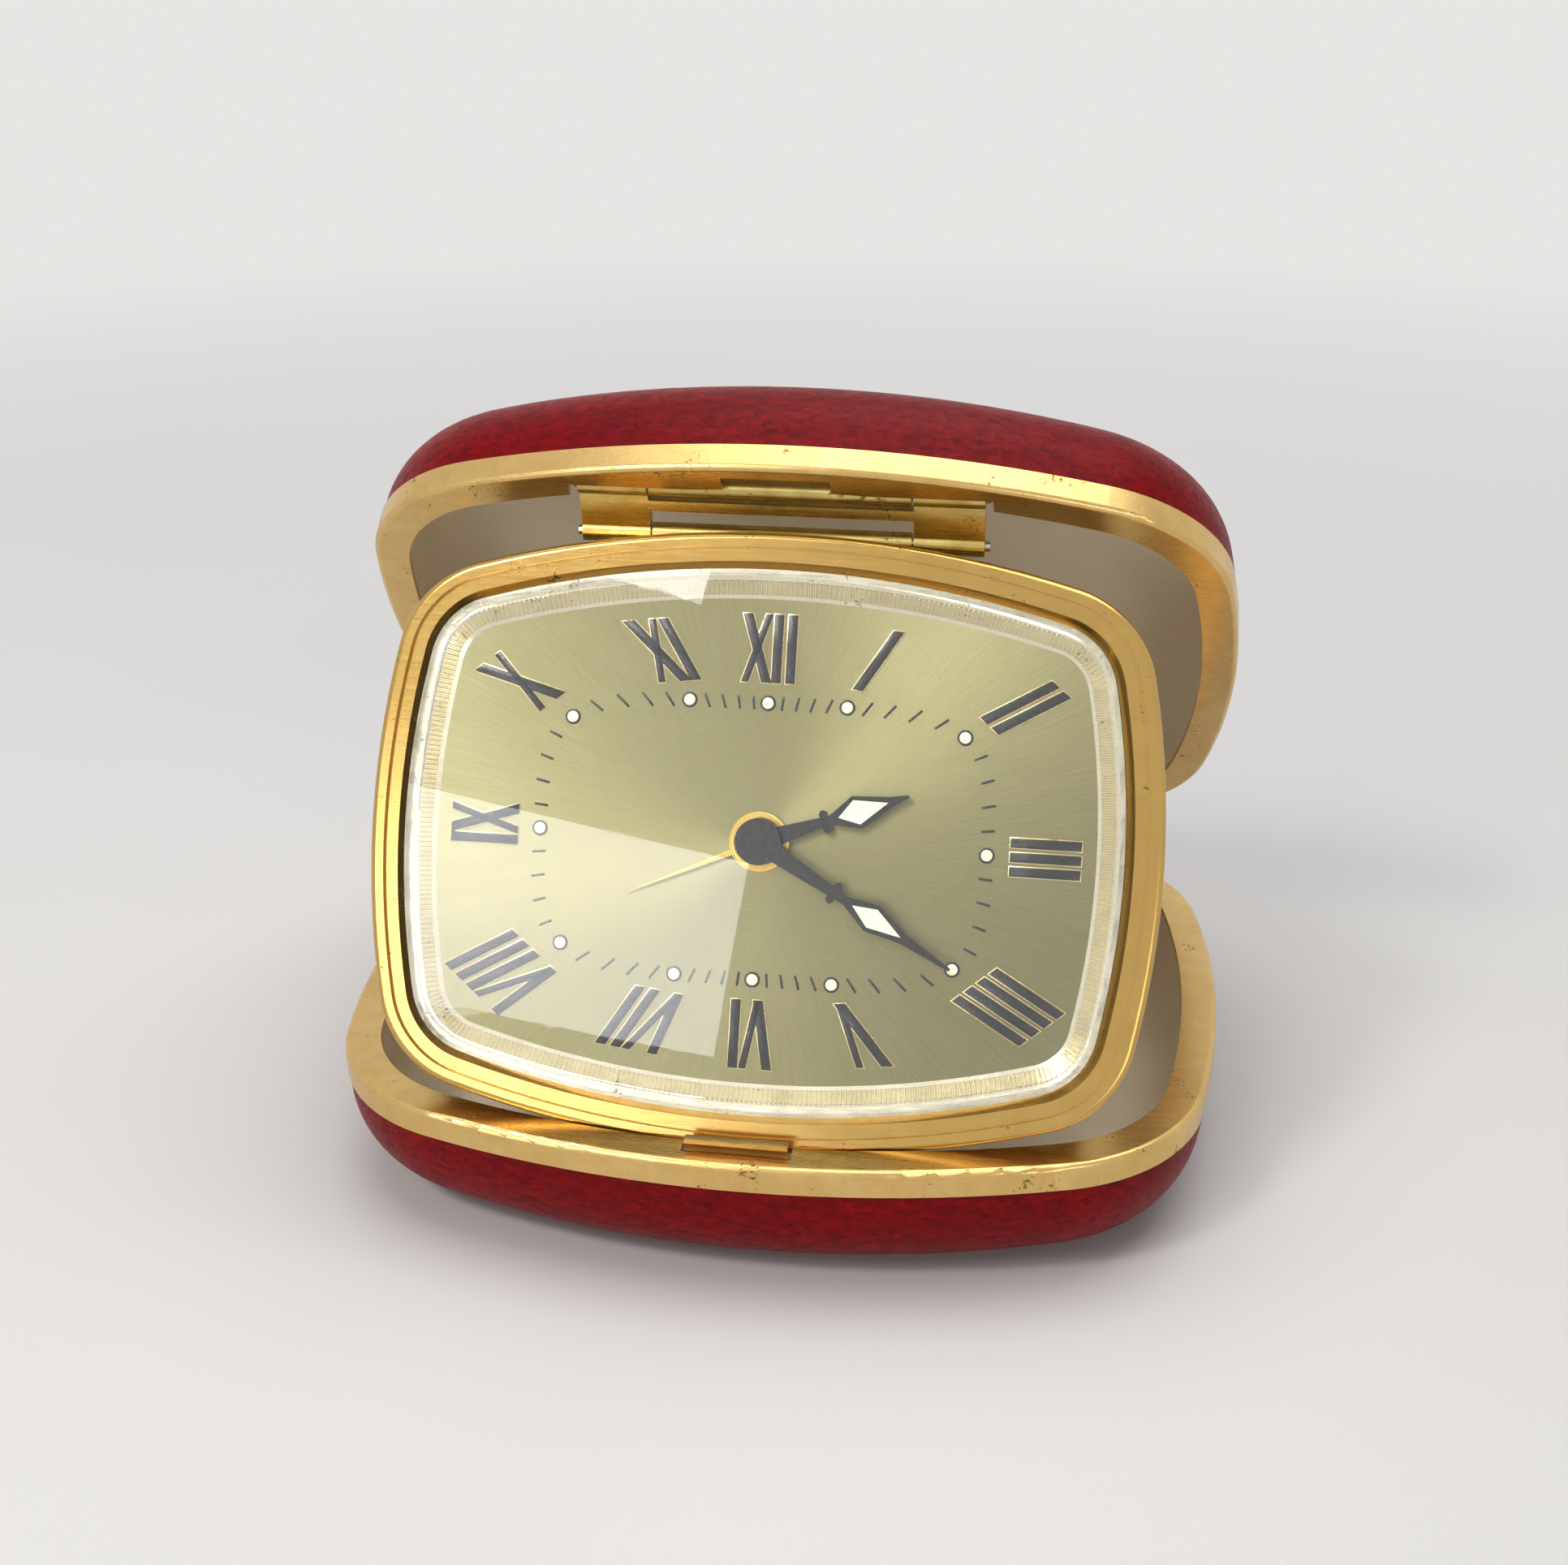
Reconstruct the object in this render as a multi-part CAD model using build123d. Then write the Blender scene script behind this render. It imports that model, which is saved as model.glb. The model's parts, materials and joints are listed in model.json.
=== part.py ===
from build123d import *
import os
from math import atan2, cos, degrees, radians, sin, sqrt

# A folding travel alarm clock, millimetres and degrees.
# Frame: X to the right, Y away from the reader, Z up. The origin is the centre of the flat rest face.

# Case halves, both alike
case_width = 90.0
case_depth = 75.8
half_height = 14.5
case_side_radius = 107.4
case_end_radius = 103.0
case_corner_radius = 18.4
dome_edge_radius = 9.8
crown_radius = 600.0
rest_disc_radius = 20.0
leather_setback = 0.25
leather_thickness = 0.8
shell_thickness = 0.7
lining_thickness = 0.45
rim_height = 2.7
rim_width = 3.58
rim_sheet = 0.6
rim_edge_radius = 0.55
rim_gap = 0.2
overrun = 1.0

# Main hinge at the back
lid_open_angle = 49.55
hinge_setback = 0.5
hinge_length = 36.0
hinge_barrel_radius = 1.2
hinge_pin_radius = 0.6
hinge_leaf_height = 2.4
knuckle_count = 5
knuckle_gap = 0.2
running_clearance = 0.05
barrel_relief = 0.25

# Catch spring in the front of the lower half
catch_width = 9.7
catch_thickness = 0.4
catch_setback = 2.6
catch_rise = 1.1
catch_length = 5.6
catch_hook = 0.5
catch_notch_clearance = 0.3

# Clock head, seen from the front: its plane leans back
clock_width = 75.4
clock_height = 58.2
clock_side_radius = 85.7
clock_end_radius = 104.3
clock_corner_radius = 10.5
clock_lean = 24.5
clock_centre_y = -20.17
clock_centre_above_rim = 24.65

# Link between lid and clock head
link_pin_radius = 0.5
link_barrel_radius = 1.05
link_barrel_length = 25.0
link_width = 38.8
link_gap = 0.2
link_web_thickness = 1.1
link_strip_height = 1.1
link_strip_gap = 0.4
link_leaf_thickness = 0.45
link_pin_stand_out = 0.5
upper_pin_setback = 5.3
upper_pin_depth = 1.25
lower_pin_depth = 3.0
link_notch_clearance = 0.3

# Clock head
bezel_width = 3.55
bezel_back = 1.5
bezel_front = 1.5
bezel_round = 0.65
bezel_chamfer = 0.75
bezel_ring_width = 1.35
bezel_groove_width = 0.4
bezel_groove_depth = 0.5
fit_clearance = 0.1
hole_clearance = 0.3
glass_low = 0.5
glass_top = 3.6
glass_radius = 400.0
glass_wall = 1.0
dial_face = -0.5
dial_thickness = 0.4
dial_inset = 6.2
dial_foot_x = 19.5
dial_foot_radius = 0.6
ring_lip = 0.5
housing_inset = 1.5
housing_wall = 0.6
housing_depth = 8.6
cover_thickness = 0.6
cover_round = 0.4
screw_x = 30.5
screw_y = 20.5
screw_radius = 0.6
screw_head_radius = 1.2
screw_head_height = 0.6
screw_slot_width = 0.3
clock_leaf_height = 3.0

# Movement
wheel_thickness = 0.5
layer_gap = 0.25
plate_thickness = 0.7
plate_to_cover = 0.6
plate_width = 55.0
plate_height = 42.0
plate_corner_radius = 4.0
pillar_inset = 2.2
pillar_radius = 1.0
arbor_radius = 0.45
minute_arbor_radius = 0.7
winding_arbor_radius = 1.0
pipe_wall = 0.35
stud_radius = 0.5
tip_share = 0.85
root_share = 1.2
foot_share = 0.27
crest_share = 0.12
motion_module = 0.28
cannon_teeth = 12
minute_wheel_teeth = 36
minute_pinion_teeth = 10
hour_wheel_teeth = 40
minute_wheel_bearing = -60
alarm_module = 0.25
alarm_wheel_teeth = 60
alarm_pinion_teeth = 20
alarm_set_bearing = 125
barrel_module = 0.35
barrel_teeth = 70
centre_pinion_teeth = 10
barrel_bearing = 205
barrel_drum_radius = 11.4
centre_module = 0.26
centre_teeth = 64
train_pinion_teeth = 8
third_bearing = 75
third_module = 0.22
third_teeth = 60
fourth_bearing = 20
fourth_module = 0.17
fourth_teeth = 64
escape_bearing = -25
escape_teeth = 15
escape_radius = 2.0
escape_root_share = 0.72
escape_foot_share = 0.1
escape_crest_share = 0.5
lever_place_share = 0.35
lever_length = 3.6
lever_width = 0.8
lever_span = 3.4
balance_x = 21.2
balance_y = 13.2
balance_radius = 4.2
balance_rim_width = 0.8
spring_half_turns = 8
spring_start_radius = 0.9
spring_step = 0.5
spring_wire = 0.15
spring_height = 0.3
alarm_barrel_x = 12.5
alarm_barrel_y = -9.5
alarm_barrel_radius = 9.0
hammer_x = 1.5
hammer_y = -15.5
hammer_length = 8.0
hammer_arm_width = 0.8
hammer_head_radius = 1.2

# Hands
hand_thickness = 0.25
hand_wall = 0.35
hand_stem_root = 0.6
hand_stem_end = 0.35
hand_collar_half = 1.0
hand_collar_height = 0.6
hand_tip_half = 0.3
hour_hand_length = 14.8
hour_collar_at = 7.2
hour_diamond_low = 8.0
hour_diamond_middle = 10.3
hour_diamond_high = 13.0
hour_diamond_half = 1.3
hour_hub_radius = 1.9
hour_hand_low = 0.3
hour_hand_angle = 70.0
minute_hand_length = 21.5
minute_collar_at = 8.2
minute_diamond_low = 10.0
minute_diamond_middle = 12.2
minute_diamond_high = 14.6
minute_diamond_half = 1.2
minute_hub_radius = 1.5
minute_hand_low = 0.95
minute_hand_angle = 120.0
alarm_hand_length = 13.7
alarm_pointer_root = 0.35
alarm_disc_radius = 2.85
alarm_hand_low = -0.25
alarm_hand_angle = 246.0

# Keys, knobs and levers on the back
knob_stand_off = 0.3
knob_height = 1.8
knob_flutes = 24
knob_flute_share = 0.93
setting_knob_radius = 3.0
alarm_knob_radius = 2.6
key_hub_radius = 1.9
key_wing_offset = 4.0
key_wing_length = 3.2
key_wing_width = 2.5
key_eye_radius = 1.0
key_angle = 25.0
regulator_thickness = 0.3
regulator_boss_radius = 0.8
regulator_length = 6.0
regulator_width = 0.9
regulator_sweep = 22.0
stop_x = -21.0
stop_y = 12.0
stop_neck_width = 1.2
stop_width = 2.6
stop_height = 2.6
stop_thickness = 1.2
stop_travel = 3.0
slide_gap = 0.15
catch_foot_height = 1.6

# Derived places
half_width = case_width / 2
half_depth = case_depth / 2
crown_sag = rest_disc_radius ** 2 / (2 * crown_radius)
hinge_y = half_depth + hinge_setback
hinge_z = half_height + rim_gap / 2
hinge_axis = Axis((0, hinge_y, hinge_z), (1, 0, 0))
shell_inset = leather_setback + leather_thickness
lining_inset = shell_inset + shell_thickness
cavity_inset = lining_inset + lining_thickness


def cushion_outline(half_x, half_y, side_radius, end_radius, corner_radius, inset):
    """Face with four slightly bowed sides and round corners, drawn in all round by inset."""
    x = half_x - inset
    y = half_y - inset
    side = side_radius - inset
    end = end_radius - inset
    corner = corner_radius - inset
    side_centre = Vector(x - side, 0)
    end_centre = Vector(0, y - end)
    span = end_centre - side_centre
    reach_side = side - corner
    reach_end = end - corner
    along = (span.length ** 2 + reach_side ** 2 - reach_end ** 2) / (2 * span.length)
    across = sqrt(reach_side ** 2 - along ** 2)
    unit = span.normalized()
    centre = side_centre + unit * along + Vector(-unit.Y, unit.X) * across
    to_side = (centre - side_centre).normalized()
    to_end = (centre - end_centre).normalized()
    side_point = side_centre + to_side * side
    end_point = end_centre + to_end * end
    corner_point = centre + (to_side + to_end).normalized() * corner

    def at(point, sign_x, sign_y):
        return (point.X * sign_x, point.Y * sign_y)

    edges = [
        ThreePointArc(at(side_point, 1, -1), (x, 0), at(side_point, 1, 1)),
        ThreePointArc(at(side_point, 1, 1), at(corner_point, 1, 1), at(end_point, 1, 1)),
        ThreePointArc(at(end_point, 1, 1), (0, y), at(end_point, -1, 1)),
        ThreePointArc(at(end_point, -1, 1), at(corner_point, -1, 1), at(side_point, -1, 1)),
        ThreePointArc(at(side_point, -1, 1), (-x, 0), at(side_point, -1, -1)),
        ThreePointArc(at(side_point, -1, -1), at(corner_point, -1, -1), at(end_point, -1, -1)),
        ThreePointArc(at(end_point, -1, -1), (0, -y), at(end_point, 1, -1)),
        ThreePointArc(at(end_point, 1, -1), at(corner_point, 1, -1), at(side_point, 1, -1)),
    ]
    return make_face(edges)


def case_outline(inset=0.0):
    return cushion_outline(
        half_width, half_depth, case_side_radius, case_end_radius, case_corner_radius, inset
    )


def clock_outline(inset=0.0):
    return cushion_outline(
        clock_width / 2, clock_height / 2, clock_side_radius, clock_end_radius, clock_corner_radius, inset
    )


def prism(face, low, high):
    """The face stood up between two heights."""
    return extrude(Pos(0, 0, low) * face, high - low)


def rod(radius, length, centre_x=0.0):
    """A round bar along X about the origin."""
    return Pos(centre_x, 0, 0) * Rot(0, 90, 0) * Cylinder(radius, length)


def block(x_low, x_high, y_low, y_high, z_low, z_high):
    """A box between its limits."""
    size = (x_high - x_low, y_high - y_low, z_high - z_low)
    middle = ((x_low + x_high) / 2, (y_low + y_high) / 2, (z_low + z_high) / 2)
    return Pos(*middle) * Box(*size)


# Case halves
def dome(inset):
    """The whole cushion of one half, with a crowned floor and a round edge, drawn in by inset."""
    depth = inset - leather_setback
    walls = prism(case_outline(inset), -crown_sag - overrun, half_height)
    crown = Pos(0, 0, crown_radius - crown_sag) * Sphere(crown_radius - depth)
    body = walls & crown
    floor_edges = body.edges().filter_by(lambda edge: edge.bounding_box().max.Z < half_height / 2)
    return fillet(floor_edges, dome_edge_radius - depth)


def skin(outer_inset, inner_inset, top):
    """One layer of a half, between two insets, open at its top."""
    layer = dome(outer_inset) - dome(inner_inset)
    return layer & block(-case_width, case_width, -case_depth, case_depth, -half_height, top)


def case_rim():
    """Brass rim: a flat rim and a skirt round the outside, with eased edges."""
    ring = prism(case_outline() - case_outline(rim_width), half_height - rim_height, half_height)
    pocket = prism(case_outline(shell_inset), half_height - rim_height - overrun, half_height - rim_sheet)
    rim = ring - pocket
    top_edges = rim.faces().sort_by(Axis.Z)[-1].outer_wire().edges()
    rim = fillet(top_edges, rim_edge_radius)
    hinge_room = rod(hinge_barrel_radius + barrel_relief, hinge_length + knuckle_gap)
    return rim - Pos(0, hinge_y, hinge_z) * hinge_room


def to_lid(shape):
    """A piece of the upper half, drawn as if it lay below the rim, put in its open place."""
    upper = mirror(shape, about=Plane.XY.offset(hinge_z))
    return upper.rotate(hinge_axis, -lid_open_angle)


leather = skin(leather_setback, shell_inset, half_height - rim_height)
shell = skin(shell_inset, lining_inset, half_height - rim_sheet)
lining = skin(lining_inset, cavity_inset, half_height - rim_sheet)
rim = case_rim()
rest_cut = block(-case_width, case_width, -case_depth, case_depth, -half_height, 0)

# Catch spring: a strip that stands on the floor wall, passes a notch in the rim and hooks over
catch_y = -half_depth + catch_setback
catch_face_y = catch_y + catch_thickness
catch_notch = block(
    -catch_width / 2 - catch_notch_clearance,
    catch_width / 2 + catch_notch_clearance,
    catch_y - catch_notch_clearance - catch_hook,
    -half_depth + rim_width + overrun,
    half_height - rim_height - overrun,
    half_height + overrun,
)

parts = {}
parts["base_leather"] = leather - rest_cut
parts["base_shell"] = shell
parts["base_lining"] = lining
parts["base_rim"] = rim - catch_notch


# Main hinge: three knuckles below and two above, on one pin
def hinge_leaf(first_knuckle):
    """Leaf with every second knuckle from the first one on, drawn for the lower half."""
    pitch = hinge_length / knuckle_count
    centres = [(index - (knuckle_count - 1) / 2) * pitch for index in range(knuckle_count)]
    plate = block(
        -hinge_length / 2 + knuckle_gap,
        hinge_length / 2 - knuckle_gap,
        half_depth - hinge_leaf_height,
        hinge_y,
        half_height - hinge_leaf_height,
        half_height - rim_gap / 2,
    )
    leaf = plate - prism(case_outline(), 0, half_height + overrun)
    for index, centre in enumerate(centres):
        place = Pos(0, hinge_y, hinge_z)
        if index % 2 == first_knuckle:
            leaf += place * rod(hinge_barrel_radius, pitch - knuckle_gap, centre)
        else:
            leaf -= place * rod(hinge_barrel_radius + barrel_relief, pitch + knuckle_gap, centre)
    return leaf - Pos(0, hinge_y, hinge_z) * rod(hinge_pin_radius + running_clearance, case_width)


parts["base_hinge_leaf"] = hinge_leaf(0)
parts["lid_hinge_leaf"] = to_lid(hinge_leaf(1))
parts["hinge_pin"] = Pos(0, hinge_y, hinge_z) * rod(hinge_pin_radius, hinge_length)

# Clock head frame: its own X right, Y up along the dial, Z out of the dial
lean = radians(clock_lean)
clock_up = Vector(0, sin(lean), cos(lean))
clock_out = Vector(0, -cos(lean), sin(lean))
clock_centre = Vector(0, clock_centre_y, half_height + clock_centre_above_rim)
clock_frame = Plane(origin=clock_centre, x_dir=(1, 0, 0), z_dir=clock_out)


def to_clock(shape):
    """A piece drawn in the clock head's own frame, put in its place."""
    return clock_frame.location * shape


# Link pins: the upper one belongs to the lid, the lower one to the clock head
upper_pin_closed_y = -half_depth + upper_pin_setback
upper_pin = Vector(0, upper_pin_closed_y, half_height - upper_pin_depth)
upper_arm = Vector(0, upper_pin_closed_y - hinge_y, hinge_z - upper_pin.Z)
upper_pin_at = Vector(*hinge_axis.position) + upper_arm.rotate(Axis.X, -lid_open_angle)
lower_pin_up = clock_height / 2
lower_pin_at = clock_centre + clock_up * lower_pin_up - clock_out * lower_pin_depth
link_line = lower_pin_at - upper_pin_at
link_length = link_line.length
link_angle = degrees(atan2(link_line.Z, link_line.Y))


def link_plate():
    """Two end plates with a rolled knuckle at each pin, joined by a strip below the upper barrel."""
    end_width = (link_width - link_barrel_length) / 2 - link_gap
    end_centre = (link_width - end_width) / 2
    strip_start = link_barrel_radius + link_strip_gap
    half_web = link_web_thickness / 2
    half_link = link_width / 2
    web = block(-half_link, half_link, 0, link_length, -half_web, half_web)
    window = block(-half_link + end_width, half_link - end_width, -overrun, link_length + overrun,
                   -overrun, overrun)
    strip = block(-half_link, half_link, strip_start, strip_start + link_strip_height, -half_web, half_web)
    plate = web - window + strip
    for side in (-1, 1):
        for along in (0, link_length):
            plate += Pos(0, along, 0) * rod(link_barrel_radius, end_width, side * end_centre)
    for along in (0, link_length):
        plate -= Pos(0, along, 0) * rod(link_pin_radius + running_clearance, case_width)
    return plate


link_face = Vector(0, -sin(radians(link_angle)), cos(radians(link_angle)))
link_frame = Plane(origin=upper_pin_at, x_dir=(1, 0, 0), z_dir=link_face)
parts["link_plate"] = link_frame.location * link_plate()
link_pin_length = link_width + 2 * link_pin_stand_out
parts["link_upper_pin"] = Pos(*upper_pin_at) * rod(link_pin_radius, link_pin_length)
parts["link_lower_pin"] = Pos(*lower_pin_at) * rod(link_pin_radius, link_pin_length)

# Lid barrel: a leaf under the flat of the lid's rim, rolled round the upper pin
lid_leaf = block(
    -link_barrel_length / 2,
    link_barrel_length / 2,
    -half_depth,
    upper_pin_closed_y,
    half_height - rim_sheet - link_leaf_thickness,
    half_height - rim_sheet,
)
lid_leaf = lid_leaf & prism(case_outline(cavity_inset), 0, half_height)
lid_leaf -= catch_notch
lid_barrel = lid_leaf + Pos(*upper_pin) * rod(link_barrel_radius, link_barrel_length)
lid_barrel -= Pos(*upper_pin) * rod(link_pin_radius + running_clearance, case_width)
link_notch = block(
    -link_width / 2 - link_pin_stand_out - link_notch_clearance,
    link_width / 2 + link_pin_stand_out + link_notch_clearance,
    upper_pin_closed_y - link_barrel_radius - link_notch_clearance,
    upper_pin_closed_y + half_depth,
    half_height - rim_height - overrun,
    half_height + overrun,
)
parts["lid_leather"] = to_lid(leather)
parts["lid_shell"] = to_lid(shell)
parts["lid_lining"] = to_lid(lining)
parts["lid_rim"] = to_lid(rim - link_notch - catch_notch)
parts["lid_link_barrel"] = to_lid(lid_barrel)
case_nodes = list(parts)

# Clock head: bezel, crystal, reflector ring and dial
def domed_block(inset, low, top, radius):
    """The clock outline drawn in, between a flat bottom and a slightly domed top."""
    dome_ball = Pos(0, 0, top - radius) * Sphere(radius)
    return prism(clock_outline(inset), low, top) & dome_ball


def clock_bezel():
    """Frame with a round outer ring, a groove, a flat inner ring and a chamfer down to the glass."""
    frame = prism(clock_outline() - clock_outline(bezel_width), -bezel_back, bezel_front)
    front = frame.faces().sort_by(Axis.Z)[-1]
    frame = fillet(front.outer_wire().edges(), bezel_round)
    front = frame.faces().sort_by(Axis.Z)[-1]
    frame = chamfer(front.inner_wires()[0].edges(), bezel_chamfer)
    groove_outer = clock_outline(bezel_ring_width)
    groove_inner = clock_outline(bezel_ring_width + bezel_groove_width)
    return frame - prism(groove_outer - groove_inner, bezel_front - bezel_groove_depth, bezel_front + overrun)


glass_inset = bezel_width + fit_clearance
parts["bezel"] = clock_bezel()
glass_outer = domed_block(glass_inset, glass_low, glass_top, glass_radius)
glass_hollow = domed_block(
    glass_inset + glass_wall, glass_low - overrun, glass_top - glass_wall, glass_radius - glass_wall
)
parts["crystal"] = glass_outer - glass_hollow
ring_block = prism(clock_outline(glass_inset), dial_face, glass_low)
ring_mouth = loft(
    [
        Pos(0, 0, dial_face) * clock_outline(dial_inset),
        Pos(0, 0, glass_low) * clock_outline(glass_inset + ring_lip),
    ],
    ruled=True,
)
parts["reflector_ring"] = ring_block - ring_mouth

# Rear housing and back cover
housing_back = -bezel_back - housing_depth
cover_back = housing_back - cover_thickness
housing_band = clock_outline(housing_inset) - clock_outline(housing_inset + housing_wall)
parts["rear_housing"] = prism(housing_band, housing_back, -bezel_back)

# Heights through the movement, counted out of the dial
dial_back = dial_face - dial_thickness
alarm_low = dial_back - layer_gap - wheel_thickness
hour_low = alarm_low - layer_gap - wheel_thickness
cannon_low = hour_low - layer_gap - wheel_thickness
front_plate_high = cannon_low - layer_gap
front_plate_low = front_plate_high - plate_thickness
back_plate_low = housing_back + plate_to_cover
back_plate_high = back_plate_low + plate_thickness
centre_high = front_plate_low - layer_gap
centre_low = centre_high - wheel_thickness
barrel_high = centre_low - layer_gap
barrel_teeth_low = barrel_high - wheel_thickness
barrel_low = back_plate_high + layer_gap
fourth_high = barrel_high - layer_gap
fourth_low = fourth_high - wheel_thickness
third_high = fourth_low - wheel_thickness
third_low = third_high - wheel_thickness
escape_low = back_plate_high + layer_gap
escape_high = escape_low + wheel_thickness


def polar(distance, angle):
    """Point at a distance and an angle from the X axis."""
    return Vector(distance * cos(radians(angle)), distance * sin(radians(angle)))


def mesh_distance(module, wheel, pinion):
    return module * (wheel + pinion) / 2


def toothed(teeth, module, tooth_angle, low, high, centre):
    """Spur wheel with straight-sided teeth, one of them centred on tooth_angle."""
    pitch = 360 / teeth
    root = module * (teeth / 2 - root_share)
    tip = module * (teeth / 2 + tip_share)
    corners = []
    for index in range(teeth):
        middle = tooth_angle + index * pitch
        for radius, share in ((root, -foot_share), (tip, -crest_share), (tip, crest_share), (root, foot_share)):
            corners.append(polar(radius, middle + share * pitch))
    face = make_face(Polyline(*corners, close=True))
    return Pos(centre.X, centre.Y, 0) * prism(face, low, high)


def wheel_and_pinion(module, wheel_teeth, pinion_teeth, wheel_at, pinion_at, wheel_layer, pinion_layer):
    """Two wheels in mesh: a tooth of the wheel points at a gap of the pinion."""
    line = pinion_at - wheel_at
    angle = degrees(atan2(line.Y, line.X))
    wheel = toothed(wheel_teeth, module, angle, *wheel_layer, wheel_at)
    pinion = toothed(pinion_teeth, module, angle + 180 + 180 / pinion_teeth, *pinion_layer, pinion_at)
    return wheel, pinion


def post(radius, low, high, centre=Vector(0, 0)):
    """Round bar along the clock's own Z."""
    return Pos(centre.X, centre.Y, (low + high) / 2) * Cylinder(radius, high - low)


# Places of the arbors, seen from the front
centre_at = Vector(0, 0)
barrel_at = polar(mesh_distance(barrel_module, barrel_teeth, centre_pinion_teeth), barrel_bearing)
third_at = polar(mesh_distance(centre_module, centre_teeth, train_pinion_teeth), third_bearing)
fourth_at = third_at + polar(mesh_distance(third_module, third_teeth, train_pinion_teeth), fourth_bearing)
escape_at = fourth_at + polar(mesh_distance(fourth_module, fourth_teeth, train_pinion_teeth), escape_bearing)
minute_wheel_at = polar(mesh_distance(motion_module, minute_wheel_teeth, cannon_teeth), minute_wheel_bearing)
alarm_set_at = polar(mesh_distance(alarm_module, alarm_wheel_teeth, alarm_pinion_teeth), alarm_set_bearing)
hour_module = motion_module * (minute_wheel_teeth + cannon_teeth) / (hour_wheel_teeth + minute_pinion_teeth)
alarm_barrel_at = Vector(alarm_barrel_x, alarm_barrel_y)
balance_at = Vector(balance_x, balance_y)
lever_at = escape_at + (balance_at - escape_at) * lever_place_share

# Radii of the pipes that turn on one another at the dial's centre
arbor_bore = minute_arbor_radius + running_clearance
hour_pipe_radius = arbor_bore + pipe_wall
hour_pipe_bore = hour_pipe_radius + running_clearance
alarm_pipe_radius = hour_pipe_bore + pipe_wall
dial_bore = alarm_pipe_radius + running_clearance
centre_tube_radius = arbor_bore + pipe_wall

# Motion work
minute_wheel, cannon = wheel_and_pinion(
    motion_module, minute_wheel_teeth, cannon_teeth, minute_wheel_at, centre_at,
    (cannon_low, cannon_low + wheel_thickness), (cannon_low, cannon_low + wheel_thickness),
)
hour_wheel, minute_pinion = wheel_and_pinion(
    hour_module, hour_wheel_teeth, minute_pinion_teeth, centre_at, minute_wheel_at,
    (hour_low, hour_low + wheel_thickness), (cannon_low, hour_low + wheel_thickness),
)
alarm_wheel, alarm_pinion = wheel_and_pinion(
    alarm_module, alarm_wheel_teeth, alarm_pinion_teeth, centre_at, alarm_set_at,
    (alarm_low, alarm_low + wheel_thickness), (alarm_low, alarm_low + wheel_thickness),
)
stud_bore = stud_radius + running_clearance
parts["cannon_pinion"] = cannon - post(minute_arbor_radius, cannon_low, hour_low)
stud_hole = post(stud_bore, cannon_low, hour_low + wheel_thickness, minute_wheel_at)
parts["minute_wheel"] = minute_wheel + minute_pinion - stud_hole
hour_pipe = post(hour_pipe_radius, hour_low, hour_hand_low + hand_thickness)
parts["hour_wheel"] = hour_wheel + hour_pipe - post(arbor_bore, hour_low - overrun, glass_top)
alarm_pipe = post(alarm_pipe_radius, alarm_low, alarm_hand_low)
parts["alarm_wheel"] = alarm_wheel + alarm_pipe - post(hour_pipe_bore, alarm_low - overrun, glass_top)
alarm_arbor = post(arbor_radius, cover_back, alarm_low + wheel_thickness, alarm_set_at)
parts["alarm_setting_arbor"] = alarm_pinion + alarm_arbor

# Going train
centre_wheel, third_pinion = wheel_and_pinion(
    centre_module, centre_teeth, train_pinion_teeth, centre_at, third_at,
    (centre_low, centre_high), (centre_low, centre_high),
)
barrel_wheel, centre_pinion = wheel_and_pinion(
    barrel_module, barrel_teeth, centre_pinion_teeth, barrel_at, centre_at,
    (barrel_teeth_low, barrel_high), (barrel_teeth_low, centre_low),
)
third_wheel, fourth_pinion = wheel_and_pinion(
    third_module, third_teeth, train_pinion_teeth, third_at, fourth_at,
    (third_low, third_high), (third_low, third_high),
)
fourth_wheel, escape_pinion = wheel_and_pinion(
    fourth_module, fourth_teeth, train_pinion_teeth, fourth_at, escape_at,
    (fourth_low, fourth_high), (fourth_low, fourth_high),
)
centre_tube = post(centre_tube_radius, back_plate_low, front_plate_high)
parts["centre_wheel"] = centre_wheel + centre_pinion + centre_tube - post(arbor_bore, housing_back, dial_face)
winding_bore = winding_arbor_radius + running_clearance
barrel_drum = post(barrel_drum_radius, barrel_low, barrel_high, barrel_at)
parts["going_barrel"] = barrel_wheel + barrel_drum - post(winding_bore, housing_back, dial_face, barrel_at)
alarm_drum = post(alarm_barrel_radius, barrel_low, barrel_high, alarm_barrel_at)
parts["alarm_barrel"] = alarm_drum - post(winding_bore, housing_back, dial_face, alarm_barrel_at)


def arbor(centre):
    """Train arbor with both ends in the plates."""
    return post(arbor_radius, back_plate_low, front_plate_high, centre)


parts["third_wheel"] = third_wheel + third_pinion + arbor(third_at)
parts["fourth_wheel"] = fourth_wheel + fourth_pinion + arbor(fourth_at)


def escape_wheel():
    """Escape wheel with slanted teeth."""
    pitch = 360 / escape_teeth
    corners = []
    for index in range(escape_teeth):
        middle = index * pitch
        corners.append(polar(escape_radius * escape_root_share, middle - escape_foot_share * pitch))
        corners.append(polar(escape_radius, middle))
        corners.append(polar(escape_radius * escape_root_share, middle + escape_crest_share * pitch))
    face = make_face(Polyline(*corners, close=True))
    return Pos(escape_at.X, escape_at.Y, 0) * prism(face, escape_low, escape_high)


parts["escape_wheel"] = escape_wheel() + escape_pinion + arbor(escape_at)

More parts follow.
